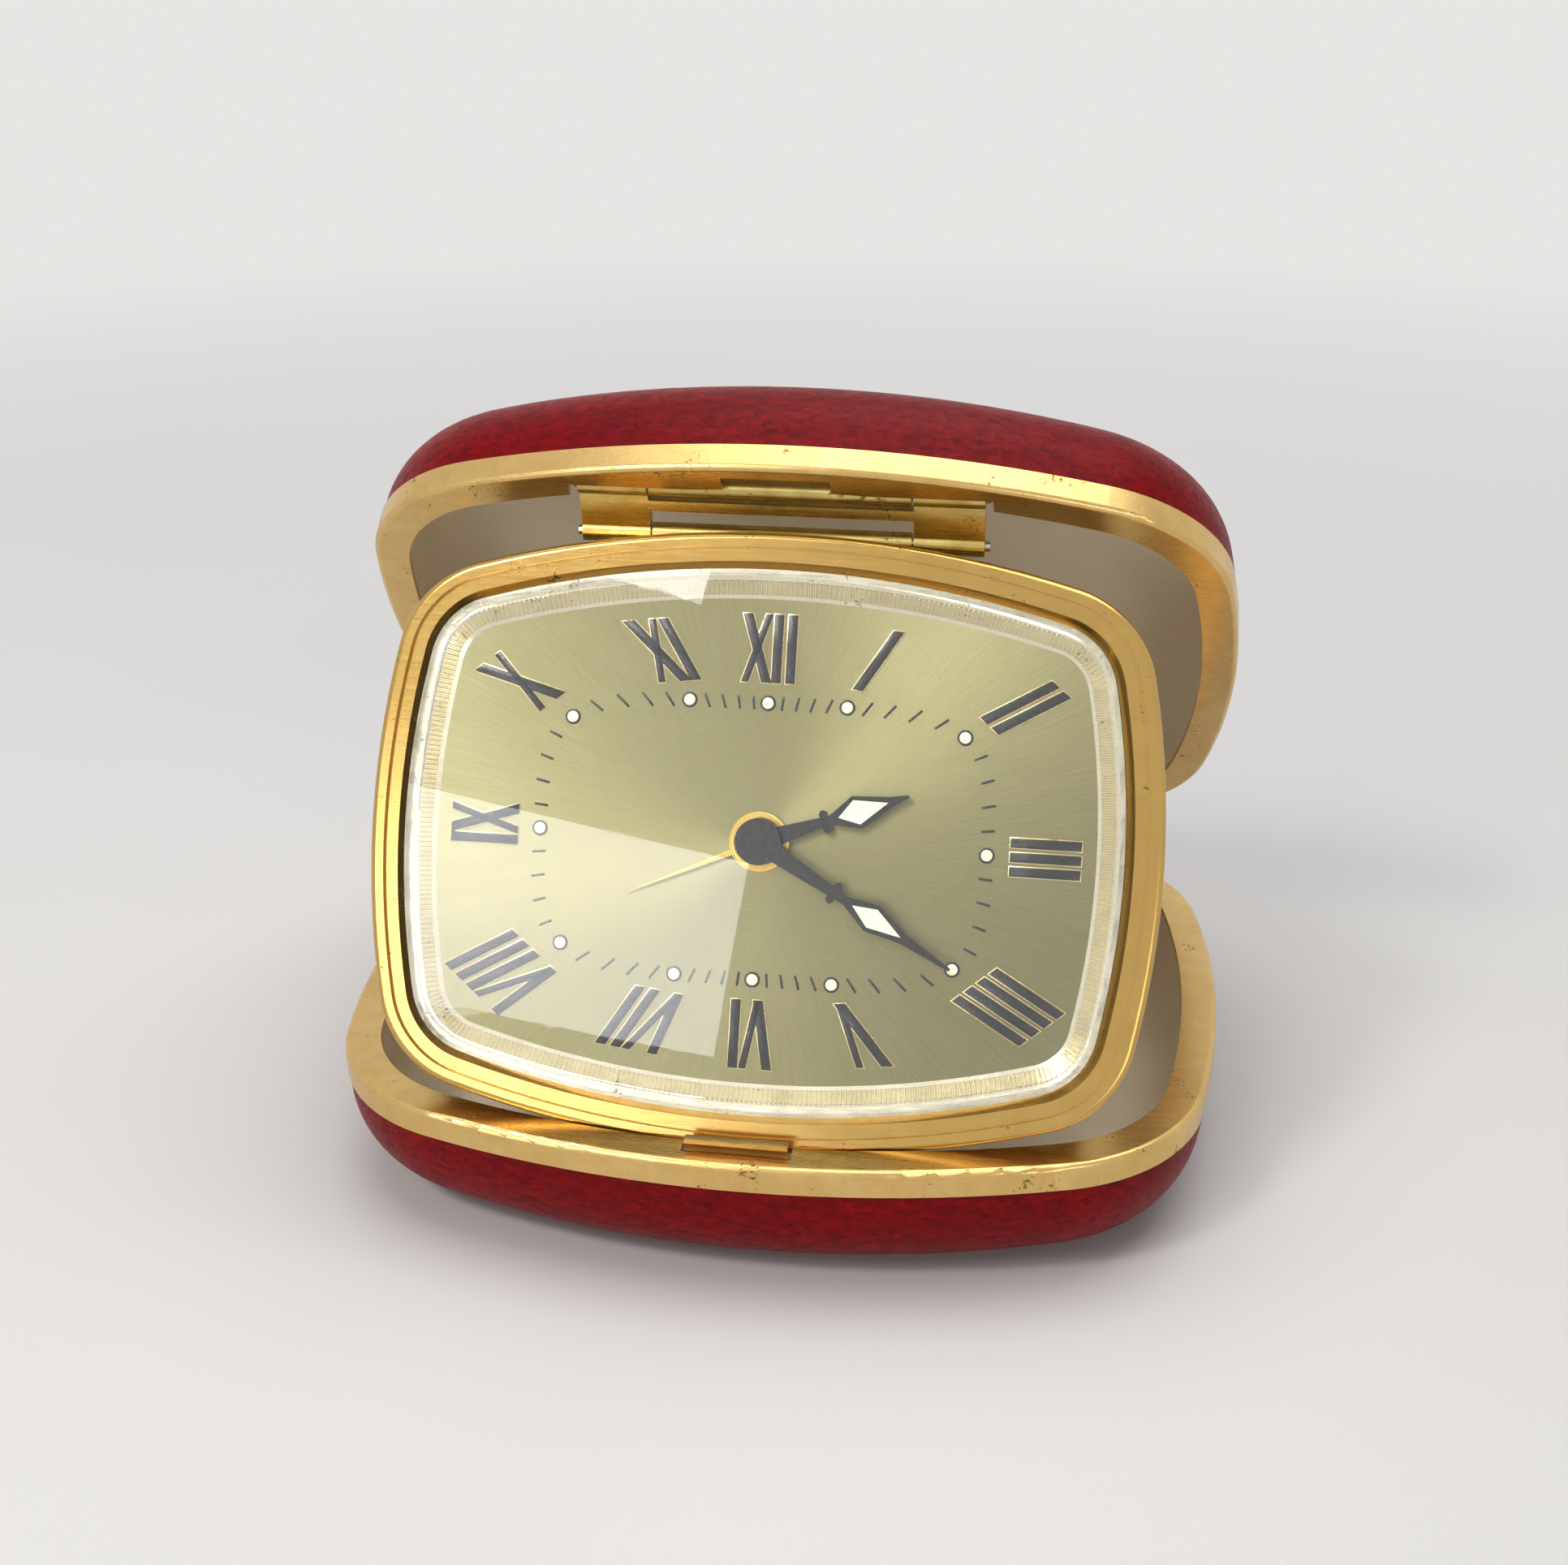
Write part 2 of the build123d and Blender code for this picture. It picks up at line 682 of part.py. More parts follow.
# Lever, balance and hairspring
lever_line = balance_at - escape_at
lever_bearing = degrees(atan2(lever_line.Y, lever_line.X))
lever_place = Pos(lever_at.X, lever_at.Y, 0) * Rot(0, 0, lever_bearing)
lever_bar = block(0, lever_length, -lever_width / 2, lever_width / 2, escape_low, escape_high)
lever_anchor = block(-lever_width / 2, lever_width / 2, -lever_span / 2, lever_span / 2, escape_low, escape_high)
parts["lever"] = lever_place * (lever_bar + lever_anchor) + arbor(lever_at)
balance_rim = post(balance_radius, fourth_low, fourth_high, balance_at)
balance_rim -= post(balance_radius - balance_rim_width, fourth_low, fourth_high, balance_at)
balance_arm = Pos(balance_at.X, balance_at.Y, 0) * block(
    -balance_radius + balance_rim_width / 2, balance_radius - balance_rim_width / 2,
    -balance_rim_width / 2, balance_rim_width / 2, fourth_low, fourth_high,
)
parts["balance_wheel"] = balance_rim + balance_arm + arbor(balance_at)

# Movement plates, pillars and the stud of the minute wheel
plate = RectangleRounded(plate_width, plate_height, plate_corner_radius)
running_places = (third_at, fourth_at, escape_at, lever_at, balance_at)
winding_places = (barrel_at, alarm_barrel_at)
foot_places = [Vector(side * dial_foot_x, 0) for side in (-1, 1)]


def bored_plate(low, high):
    """Movement plate with a running hole for every arbor."""
    body = prism(plate, low, high)
    body -= post(centre_tube_radius + running_clearance, low, high)
    body -= post(arbor_radius + running_clearance, low, high, alarm_set_at)
    for place in running_places:
        body -= post(arbor_radius + running_clearance, low, high, place)
    for place in winding_places:
        body -= post(winding_bore, low, high, place)
    return body


front_plate = bored_plate(front_plate_low, front_plate_high)
for place in foot_places:
    front_plate -= post(dial_foot_radius, front_plate_low, front_plate_high, place)
stud = post(stud_radius, front_plate_high, hour_low + wheel_thickness, minute_wheel_at)
parts["front_plate"] = front_plate + stud
parts["back_plate"] = bored_plate(back_plate_low, back_plate_high)
pillar_places = [
    Vector(side_x * (plate_width / 2 - pillar_inset), side_y * (plate_height / 2 - pillar_inset))
    for side_x in (-1, 1)
    for side_y in (-1, 1)
]
parts["plate_pillars"] = Compound(
    children=[post(pillar_radius, back_plate_high, front_plate_low, place).solid() for place in pillar_places]
)
dial = prism(clock_outline(glass_inset), dial_back, dial_face) - post(dial_bore, dial_back, dial_face)
for place in foot_places:
    dial += post(dial_foot_radius, front_plate_low, dial_back, place)
parts["dial"] = dial


# Hands, drawn pointing up and then turned to their hour
def hand_face(length, stem_root, stem_end, collar_at, collar_half, diamond, diamond_half, tip_half):
    """Tapered stem, cross collar and a diamond frame that runs out to a point."""
    low, middle, high = diamond
    right = [
        (stem_root, 0),
        (stem_end, low),
        (diamond_half, middle),
        (tip_half, high),
        (0, length),
    ]
    left = [(-x, y) for x, y in reversed(right[:-1])]
    face = make_face(Polyline(*right, *left, close=True))
    collar = Pos(0, collar_at) * RectangleRounded(2 * collar_half, hand_collar_height, hand_collar_height / 3)
    return face + collar


def diamond_face(diamond, diamond_half, wall):
    """Window inside a hand's diamond."""
    low, middle, high = diamond
    inset = 2 * wall
    half = diamond_half - wall
    return make_face(Polyline((0, low + inset), (half, middle), (0, high - inset), (-half, middle), close=True))


def make_hand(face, window, hub_radius, bore, low, angle):
    """Hand with its hub and window, and the glowing fill of that window."""
    turn = Rot(0, 0, -angle)
    hub = Circle(hub_radius)
    flat = prism(face + hub - Circle(bore) - window, low, low + hand_thickness)
    fill = prism(window, low, low + hand_thickness)
    return turn * flat, turn * fill


hour_diamond = (hour_diamond_low, hour_diamond_middle, hour_diamond_high)
minute_diamond = (minute_diamond_low, minute_diamond_middle, minute_diamond_high)
hour_face = hand_face(
    hour_hand_length, hand_stem_root, hand_stem_end, hour_collar_at, hand_collar_half,
    hour_diamond, hour_diamond_half, hand_tip_half,
)
minute_face = hand_face(
    minute_hand_length, hand_stem_root, hand_stem_end, minute_collar_at, hand_collar_half,
    minute_diamond, minute_diamond_half, hand_tip_half,
)
parts["hour_hand"], parts["hour_hand_fill"] = make_hand(
    hour_face, diamond_face(hour_diamond, hour_diamond_half, hand_wall),
    hour_hub_radius, hour_pipe_radius, hour_hand_low, hour_hand_angle,
)
parts["minute_hand"], parts["minute_hand_fill"] = make_hand(
    minute_face, diamond_face(minute_diamond, minute_diamond_half, hand_wall),
    minute_hub_radius, minute_arbor_radius, minute_hand_low, minute_hand_angle,
)
alarm_pointer = make_face(
    Polyline((-alarm_pointer_root, 0), (alarm_pointer_root, 0), (0, alarm_hand_length), close=True)
)
alarm_flat = alarm_pointer + Circle(alarm_disc_radius) - Circle(hour_pipe_bore)
alarm_hand = prism(alarm_flat, alarm_hand_low, alarm_hand_low + hand_thickness)
parts["alarm_hand"] = Rot(0, 0, -alarm_hand_angle) * alarm_hand
parts["minute_arbor"] = post(minute_arbor_radius, cover_back - knob_stand_off, minute_hand_low + hand_thickness)

# Back cover with its knobs, keys, regulator and alarm stop
knob_high = cover_back - knob_stand_off
knob_low = knob_high - knob_height


def back_knob(radius, centre):
    """Knob with a coined edge."""
    pitch = 360 / knob_flutes
    corners = []
    for index in range(knob_flutes):
        corners.append(polar(radius, index * pitch))
        corners.append(polar(radius * knob_flute_share, (index + 1 / 2) * pitch))
    return Pos(centre.X, centre.Y, 0) * prism(make_face(Polyline(*corners, close=True)), knob_low, knob_high)


def winding_key(centre, angle):
    """Two-winged key on the winding arbor."""
    wings = Circle(key_hub_radius)
    for side in (-1, 1):
        wings += Pos(side * key_wing_offset, 0) * Ellipse(key_wing_length, key_wing_width)
        wings -= Pos(side * key_wing_offset, 0) * Circle(key_eye_radius)
    blade = prism(wings, knob_low, knob_high)
    shaft = post(winding_arbor_radius, knob_high, front_plate_high)
    return Pos(centre.X, centre.Y, 0) * Rot(0, 0, angle) * (blade + shaft)


parts["hand_setting_knob"] = back_knob(setting_knob_radius, centre_at)
parts["alarm_setting_knob"] = back_knob(alarm_knob_radius, alarm_set_at) + post(
    arbor_radius, knob_high, cover_back, alarm_set_at
)
parts["going_key"] = winding_key(barrel_at, key_angle)
parts["alarm_key"] = winding_key(alarm_barrel_at, -key_angle)

# Hairspring: half rings whose centres alternate, so that each half turn opens by the same step
spring_face = Sketch()
for index in range(spring_half_turns):
    radius = spring_start_radius + index * spring_step / 2
    side = 1 if index % 2 == 0 else -1
    ring_face = Circle(radius + spring_wire / 2) - Circle(radius - spring_wire / 2)
    half_plane = Pos(0, side * case_depth / 2) * Rectangle(case_width, case_depth)
    spring_face += Pos(side * spring_step / 4, 0) * (ring_face & half_plane)
spring_low = front_plate_low - layer_gap - spring_height
hairspring = prism(spring_face, spring_low, spring_low + spring_height)
parts["hairspring"] = Pos(balance_at.X, balance_at.Y, 0) * hairspring

# Alarm hammer: an arm with a round head that strikes the housing
hammer_at = Vector(hammer_x, hammer_y)
hammer_arm = block(-hammer_arm_width / 2, hammer_arm_width / 2, -hammer_length, 0, third_low, third_high)
hammer_end = Vector(0, -hammer_length)
hammer_head = post(hammer_head_radius, third_low - wheel_thickness, third_high + wheel_thickness, hammer_end)
parts["alarm_hammer"] = Pos(hammer_at.X, hammer_at.Y, 0) * (hammer_arm + hammer_head) + arbor(hammer_at)
for name in ("front_plate", "back_plate"):
    parts[name] -= post(arbor_radius + running_clearance, back_plate_low, front_plate_high, hammer_at)

# Regulator: a ring on a boss over the balance, with a pin through an arc slot in the cover
regulator_high = back_plate_low - layer_gap / 2
regulator_low = regulator_high - regulator_thickness
parts["back_plate"] += post(regulator_boss_radius, regulator_low, back_plate_low, balance_at)
regulator = Circle(regulator_boss_radius + running_clearance + pipe_wall)
regulator += Pos(-regulator_length / 2, 0) * Rectangle(regulator_length, regulator_width)
regulator -= Circle(regulator_boss_radius + running_clearance)
regulator = prism(regulator, regulator_low, regulator_high)
regulator += post(regulator_width / 2, knob_high, regulator_high, Vector(-regulator_length, 0))
parts["regulator_lever"] = Pos(balance_at.X, balance_at.Y, 0) * regulator

# Alarm stop: a slide in a straight slot of the cover
stop_at = Vector(stop_x, stop_y)
stop_neck = block(-stop_neck_width / 2, stop_neck_width / 2, -stop_neck_width / 2, stop_neck_width / 2,
                  cover_back - slide_gap, housing_back + slide_gap)
stop_head = prism(RectangleRounded(stop_width, stop_height, stop_neck_width / 2),
                  cover_back - slide_gap - stop_thickness, cover_back - slide_gap)
stop_foot = prism(RectangleRounded(stop_width, stop_height, stop_neck_width / 2),
                  housing_back + slide_gap, housing_back + slide_gap + regulator_thickness)
parts["alarm_stop_slide"] = Pos(stop_at.X, stop_at.Y, 0) * (stop_neck + stop_head + stop_foot)

# Back cover
cover = prism(clock_outline(housing_inset), cover_back, housing_back)
cover = fillet(cover.faces().sort_by(Axis.Z)[0].outer_wire().edges(), cover_round)
cover_low = cover_back - overrun
cover_high = housing_back + overrun
cover -= post(minute_arbor_radius + hole_clearance, cover_low, cover_high)
cover -= post(arbor_radius + hole_clearance, cover_low, cover_high, alarm_set_at)
for place in winding_places:
    cover -= post(winding_arbor_radius + hole_clearance, cover_low, cover_high, place)
balance_point = (balance_at.X, balance_at.Y)
regulator_arc = CenterArc(balance_point, regulator_length, 180 - regulator_sweep, 2 * regulator_sweep)
cover -= prism(SlotArc(regulator_arc, regulator_width + 2 * hole_clearance), cover_low, cover_high)
stop_slot_width = stop_neck_width + 2 * hole_clearance
stop_slot_height = stop_slot_width + stop_travel
cover -= Pos(stop_at.X, stop_at.Y + stop_travel / 2, 0) * prism(
    Rectangle(stop_slot_width, stop_slot_height), cover_low, cover_high
)
screw_places = [Vector(side_x * screw_x, side_y * screw_y) for side_x in (-1, 1) for side_y in (-1, 1)]
for place in screw_places:
    cover -= post(screw_radius, cover_low, cover_high, place)
parts["back_cover"] = cover


def cover_screw(place):
    """Cheese-head screw with a driver slot."""
    head = post(screw_head_radius, cover_back - screw_head_height, cover_back, place)
    shank = post(screw_radius, cover_back, housing_back, place)
    slot = Pos(place.X, place.Y, cover_back - screw_head_height) * Box(
        2 * screw_head_radius, screw_slot_width, screw_head_height
    )
    return (head + shank - slot).solid()


parts["cover_screws"] = Compound(children=[cover_screw(place) for place in screw_places])

# Clock barrel: a leaf on top of the housing, rolled round the lower pin
barrel_leaf = block(
    -link_barrel_length / 2, link_barrel_length / 2,
    lower_pin_up - clock_leaf_height, lower_pin_up,
    -lower_pin_depth - link_leaf_thickness / 2, -lower_pin_depth + link_leaf_thickness / 2,
)
barrel_leaf -= prism(clock_outline(housing_inset), cover_back, 0)
lower_pin_place = Pos(0, lower_pin_up, -lower_pin_depth)
clock_barrel = barrel_leaf + lower_pin_place * rod(link_barrel_radius, link_barrel_length)
lower_pin_bore = lower_pin_place * rod(link_pin_radius + running_clearance, case_width)
parts["clock_link_barrel"] = clock_barrel - lower_pin_bore

# Everything drawn in the clock's own frame goes to its place
for name in list(parts):
    if name not in case_nodes:
        parts[name] = to_clock(parts[name])

# Catch spring: a strip on the lining that rises through the rim's notch and hooks forward
catch_strip = block(
    -catch_width / 2, catch_width / 2, catch_y, catch_face_y, half_height - catch_length, half_height + catch_rise
)
catch_bead = block(
    -catch_width / 2, catch_width / 2, catch_y - catch_hook, catch_y,
    half_height + catch_rise - catch_thickness, half_height + catch_rise,
)
catch_foot = block(
    -catch_width / 2, catch_width / 2, catch_y - catch_setback, catch_y,
    half_height - catch_length, half_height - catch_length + catch_foot_height,
)
parts["base_catch"] = catch_strip + catch_bead + (catch_foot & dome(cavity_inset + fit_clearance))

os.makedirs("parts", exist_ok=True)
for name, shape in parts.items():
    export_step(shape, f"parts/{name}.step")
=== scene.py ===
"""Looks of the folding travel clock: dial print, hands, fluted ring, finishes, light and camera."""
import json
from math import atan2, cos, pi, radians, sin, sqrt

import bmesh
import bpy
from mathutils import Matrix, Vector


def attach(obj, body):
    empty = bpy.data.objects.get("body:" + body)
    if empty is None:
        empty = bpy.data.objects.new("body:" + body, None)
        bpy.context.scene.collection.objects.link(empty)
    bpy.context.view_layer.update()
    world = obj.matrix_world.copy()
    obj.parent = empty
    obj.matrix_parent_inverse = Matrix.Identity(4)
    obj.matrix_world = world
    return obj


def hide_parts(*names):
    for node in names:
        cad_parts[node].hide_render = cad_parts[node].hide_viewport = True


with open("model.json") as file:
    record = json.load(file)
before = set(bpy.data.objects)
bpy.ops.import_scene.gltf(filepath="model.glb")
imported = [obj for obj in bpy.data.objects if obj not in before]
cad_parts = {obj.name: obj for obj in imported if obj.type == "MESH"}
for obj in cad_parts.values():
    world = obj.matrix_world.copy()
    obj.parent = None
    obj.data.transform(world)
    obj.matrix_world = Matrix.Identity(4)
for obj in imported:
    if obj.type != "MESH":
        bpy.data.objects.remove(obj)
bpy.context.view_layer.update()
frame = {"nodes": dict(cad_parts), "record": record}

MM = 0.001

joints = {joint["name"]: joint for joint in frame["record"]["behaviour"]["joints"]}

# The clock head's own axes: right, up and out of the dial, from the centre of the dial.
clock_centre = Vector(joints["minute_hand_turn"]["pos_m"])
clock_out = Vector(joints["minute_hand_turn"]["axis"])
clock_right = Vector((1, 0, 0))
clock_up = clock_out.cross(clock_right)
clock_turn = Matrix((clock_right, clock_up, clock_out)).transposed().to_4x4()
clock_place = Matrix.Translation(clock_centre) @ clock_turn


# Node helpers

def add_node(tree, kind, inputs=None, **settings):
    """A node with its settings, each input given a value or the socket that feeds it."""
    node = tree.nodes.new(kind)
    for name, value in settings.items():
        setattr(node, name, value)
    for name, value in (inputs or {}).items():
        if isinstance(value, bpy.types.NodeSocket):
            tree.links.new(value, node.inputs[name])
        else:
            node.inputs[name].default_value = value
    return node


def new_group(name, inputs, outputs):
    """A shader group with its sockets, and the two nodes at its ends."""
    tree = bpy.data.node_groups.new(name, "ShaderNodeTree")
    for label, kind, value in inputs:
        socket = tree.interface.new_socket(label, in_out="INPUT", socket_type="NodeSocket" + kind)
        if value is not None:
            socket.default_value = value
    for label, kind in outputs:
        tree.interface.new_socket(label, in_out="OUTPUT", socket_type="NodeSocket" + kind)
    return tree, tree.nodes.new("NodeGroupInput").outputs, tree.nodes.new("NodeGroupOutput").inputs


def new_material(name, **values):
    """A material with a Principled shader; gives the tree, the shader and Object coordinates."""
    material = bpy.data.materials.new(name)
    material.use_nodes = True
    tree = material.node_tree
    shader = tree.nodes["Principled BSDF"]
    for label, value in values.items():
        shader.inputs[label.replace("_", " ")].default_value = value
    place = tree.nodes.new("ShaderNodeTexCoord").outputs["Object"]
    return material, tree, shader, place


def mix_colour(tree, factor, low, high):
    """Two colours mixed; 0, 6 and 7 are the sockets a Mix node has for colours."""
    return add_node(tree, "ShaderNodeMix", {0: factor, 6: low, 7: high}, data_type="RGBA").outputs[2]


def spread(tree, value, low, high, out_low=0.0, out_high=1.0):
    """A value's range from low to high laid over another range, clamped."""
    node = add_node(tree, "ShaderNodeMapRange", {
        "Value": value, "From Min": low, "From Max": high, "To Min": out_low, "To Max": out_high})
    return node.outputs["Result"]


def share(tree, mask, most):
    """A mask from 0 to 1 weakened so that it reaches only this share."""
    return spread(tree, mask, 0.0, 1.0, 0.0, most)


def noise(tree, vector, scale, detail=4.0, roughness=0.6, distortion=0.0):
    node = add_node(tree, "ShaderNodeTexNoise", {
        "Vector": vector, "Scale": scale, "Detail": detail, "Roughness": roughness, "Distortion": distortion})
    return node.outputs["Fac"]


def calc(tree, operation, *values):
    """A Math node, each of its inputs given a value or the socket that feeds it."""
    return add_node(tree, "ShaderNodeMath", dict(enumerate(values)), operation=operation).outputs[0]


def vector_calc(tree, operation, *vectors):
    return add_node(tree, "ShaderNodeVectorMath", dict(enumerate(vectors)), operation=operation).outputs[0]


def nearness(tree, place, point, inner, outer):
    """A mask that is 1 within inner of a point and fades to 0 at outer."""
    reach = add_node(tree, "ShaderNodeVectorMath", {0: place, 1: point}, operation="DISTANCE")
    return spread(tree, reach.outputs["Value"], inner, outer, 1.0, 0.0)


def dress(tree, shader, colour, roughness):
    tree.links.new(colour, shader.inputs["Base Color"])
    tree.links.new(roughness, shader.inputs["Roughness"])


def roughen(tree, shader, height, distance, strength=1.0):
    bump = add_node(tree, "ShaderNodeBump", {"Height": height, "Distance": distance, "Strength": strength})
    tree.links.new(bump.outputs["Normal"], shader.inputs["Normal"])


def blend_shaders(tree, factor, first, second, end):
    """Two shaders blended by a factor and joined to the tree's end node."""
    blend = add_node(tree, "ShaderNodeMixShader", {0: factor, 1: first.outputs[0], 2: second.outputs[0]})
    tree.links.new(blend.outputs[0], tree.nodes[end].inputs["Surface"])


def backdrop_rays(tree):
    """1 for the camera's rays and for what metal mirrors and glass lets through."""
    rays = tree.nodes.new("ShaderNodeLightPath").outputs
    seen = calc(tree, "MAXIMUM", rays["Is Camera Ray"], rays["Is Glossy Ray"])
    return calc(tree, "MAXIMUM", seen, rays["Is Transmission Ray"])


def shade(red, green, blue):
    """A colour written as it looks on a screen, 0 to 255."""
    linear = [(part / 255 / 12.92) if part <= 10 else ((part / 255 + 0.055) / 1.055) ** 2.4
              for part in (red, green, blue)]
    return (*linear, 1.0)


# Effects that several finishes share

pit_patch_scale = 0.12
pit_edge = 0.06


def make_pitting():
    """Small worn pits, grouped in patches."""
    tree, source, sink = new_group(
        "worn_pits",
        [("Vector", "Vector", None), ("Scale", "Float", 1500.0), ("Share", "Float", 0.4)],
        [("Mask", "Float")],
    )
    dots = noise(tree, source["Vector"], source["Scale"], 3.0)
    patch_scale = calc(tree, "MULTIPLY", source["Scale"], pit_patch_scale)
    patches = noise(tree, source["Vector"], patch_scale, 2.0, 0.5)
    full = calc(tree, "ADD", source["Share"], pit_edge)
    mask = spread(tree, calc(tree, "MULTIPLY", dots, patches), source["Share"], full)
    tree.links.new(mask, sink["Mask"])
    return tree


def make_brushing():
    """Fine marks of a brush, drawn out along the group's own X."""
    tree, source, sink = new_group(
        "brush_marks",
        [("Vector", "Vector", None), ("Along", "Float", 60.0), ("Across", "Float", 4000.0)],
        [("Mark", "Float")],
    )
    stretch = add_node(tree, "ShaderNodeCombineXYZ", {
        "X": source["Along"], "Y": source["Across"], "Z": source["Across"]}).outputs[0]
    drawn = vector_calc(tree, "MULTIPLY", source["Vector"], stretch)
    tree.links.new(noise(tree, drawn, 1.0, 3.0, 0.65), sink["Mark"])
    return tree


def make_blotches():
    """Broad uneven patches from handling and age."""
    tree, source, sink = new_group(
        "handled_patches",
        [("Vector", "Vector", None), ("Scale", "Float", 120.0)],
        [("Patch", "Float")],
    )
    cloud = noise(tree, source["Vector"], source["Scale"], 5.0, 0.6, 0.6)
    tree.links.new(spread(tree, cloud, 0.32, 0.68), sink["Patch"])
    return tree


worn_pits = make_pitting()
brush_marks = make_brushing()
handled_patches = make_blotches()


def pits_on(tree, vector, scale, pit_share):
    inputs = {"Vector": vector, "Scale": scale, "Share": pit_share}
    return add_node(tree, "ShaderNodeGroup", inputs, node_tree=worn_pits).outputs["Mask"]


def brush_on(tree, vector, along, across):
    inputs = {"Vector": vector, "Along": along, "Across": across}
    return add_node(tree, "ShaderNodeGroup", inputs, node_tree=brush_marks).outputs["Mark"]


def patches_on(tree, vector, scale):
    inputs = {"Vector": vector, "Scale": scale}
    return add_node(tree, "ShaderNodeGroup", inputs, node_tree=handled_patches).outputs["Patch"]


# Finishes

leather_draw = (0.45, 1.0, 1.0)
thread_draw = (1.0, 3.0, 3.0)
lining_stain = (31.0 * MM, -22.0 * MM, 13.0 * MM)
stain_inner = 0.3 * MM
stain_outer = 0.9 * MM
crystal_index = 1.49
dial_ray_count = 260.0
backdrop_colour = shade(231, 230, 228)
floor_near = 0.14
floor_far = 0.5


def crimson_leather():
    """Deep crimson leather cloth: a fine fibrous mottle drawn out along the case."""
    material, tree, shader, place = new_material(
        "crimson_leather", Coat_Weight=0.03, Coat_Roughness=0.2, Specular_IOR_Level=0.09)
    drawn = vector_calc(tree, "MULTIPLY", place, leather_draw)
    fibre = noise(tree, drawn, 1500.0, 8.0, 0.7, 0.7)
    fleck = noise(tree, drawn, 4200.0, 3.0)
    mottle = spread(tree, fibre, 0.34, 0.68)
    patch = patches_on(tree, drawn, 110.0)
    body = mix_colour(tree, mottle, shade(88, 0, 5), shade(152, 3, 12))
    body = mix_colour(tree, spread(tree, fleck, 0.56, 0.74, 0.0, 0.6), body, shade(54, 0, 5))
    body = mix_colour(tree, share(tree, patch, 0.4), body, shade(78, 0, 6))
    dress(tree, shader, body, spread(tree, mottle, 0.0, 1.0, 0.5, 0.34))
    pore = add_node(tree, "ShaderNodeTexVoronoi", {"Vector": drawn, "Scale": 2600.0}, feature="SMOOTH_F1")
    roughen(tree, shader, calc(tree, "ADD", pore.outputs["Distance"], fibre), 0.03 * MM, 0.4)
    return material


def worn_metal(name, bright, dull, pit, smooth, rough, pit_share=0.38, pit_scale=2600.0, dulling=0.55):
    """A brushed and worn metal: fine brush marks, handled patches and small pits."""
    material, tree, shader, place = new_material(name, Metallic=1.0)
    mark = brush_on(tree, place, 140.0, 9000.0)
    patch = patches_on(tree, place, 260.0)
    pits = pits_on(tree, place, pit_scale, pit_share)
    body = mix_colour(tree, share(tree, patch, dulling), shade(*bright), shade(*dull))
    body = mix_colour(tree, share(tree, pits, 0.75), body, shade(*pit))
    gloss = spread(tree, mark, 0.3, 0.7, smooth, rough)
    dress(tree, shader, body, calc(tree, "MULTIPLY_ADD", pits, 0.3, gloss))
    roughen(tree, shader, calc(tree, "SUBTRACT", mark, pits), 0.003 * MM)
    return material


def ribbed_lining():
    """Cream lining cloth with a fine rib across the case, a little foxing and one small stain."""
    material, tree, shader, place = new_material("ribbed_lining", Sheen_Weight=0.15)
    rib = add_node(tree, "ShaderNodeTexWave", {
        "Vector": place, "Scale": 800.0, "Distortion": 1.2, "Detail": 2.0, "Detail Scale": 2.0},
        wave_type="BANDS", bands_direction="Y")
    thread = noise(tree, vector_calc(tree, "MULTIPLY", place, thread_draw), 1400.0, 3.0)
    woven = calc(tree, "MULTIPLY_ADD", thread, 0.8, rib.outputs["Fac"])
    patch = patches_on(tree, place, 90.0)
    body = mix_colour(tree, spread(tree, woven, 0.2, 1.5), shade(236, 222, 196), shade(246, 236, 214))
    body = mix_colour(tree, spread(tree, patch, 0.3, 1.0, 0.0, 0.35), body, shade(228, 208, 176))
    stain = nearness(tree, place, lining_stain, stain_inner, stain_outer)
    body = mix_colour(tree, share(tree, stain, 0.7), body, shade(128, 92, 60))
    dress(tree, shader, body, spread(tree, patch, 0.0, 1.0, 0.7, 0.85))
    roughen(tree, shader, woven, 0.05 * MM, 0.4)
    return material


def clear_crystal():
    """Clear moulded crystal with a few hair scratches, which lets light through to the dial."""
    material, tree, shader, place = new_material(
        "clear_crystal", Base_Color=(1.0, 1.0, 1.0, 1.0), IOR=crystal_index, Transmission_Weight=1.0)
    mark = brush_on(tree, place, 40.0, 1500.0)
    tree.links.new(spread(tree, mark, 0.62, 0.8, 0.0, 0.12), shader.inputs["Roughness"])
    clear = add_node(tree, "ShaderNodeBsdfTransparent")
    rays = tree.nodes.new("ShaderNodeLightPath")
    blend_shaders(tree, rays.outputs["Is Shadow Ray"], shader, clear, "Material Output")
    return material


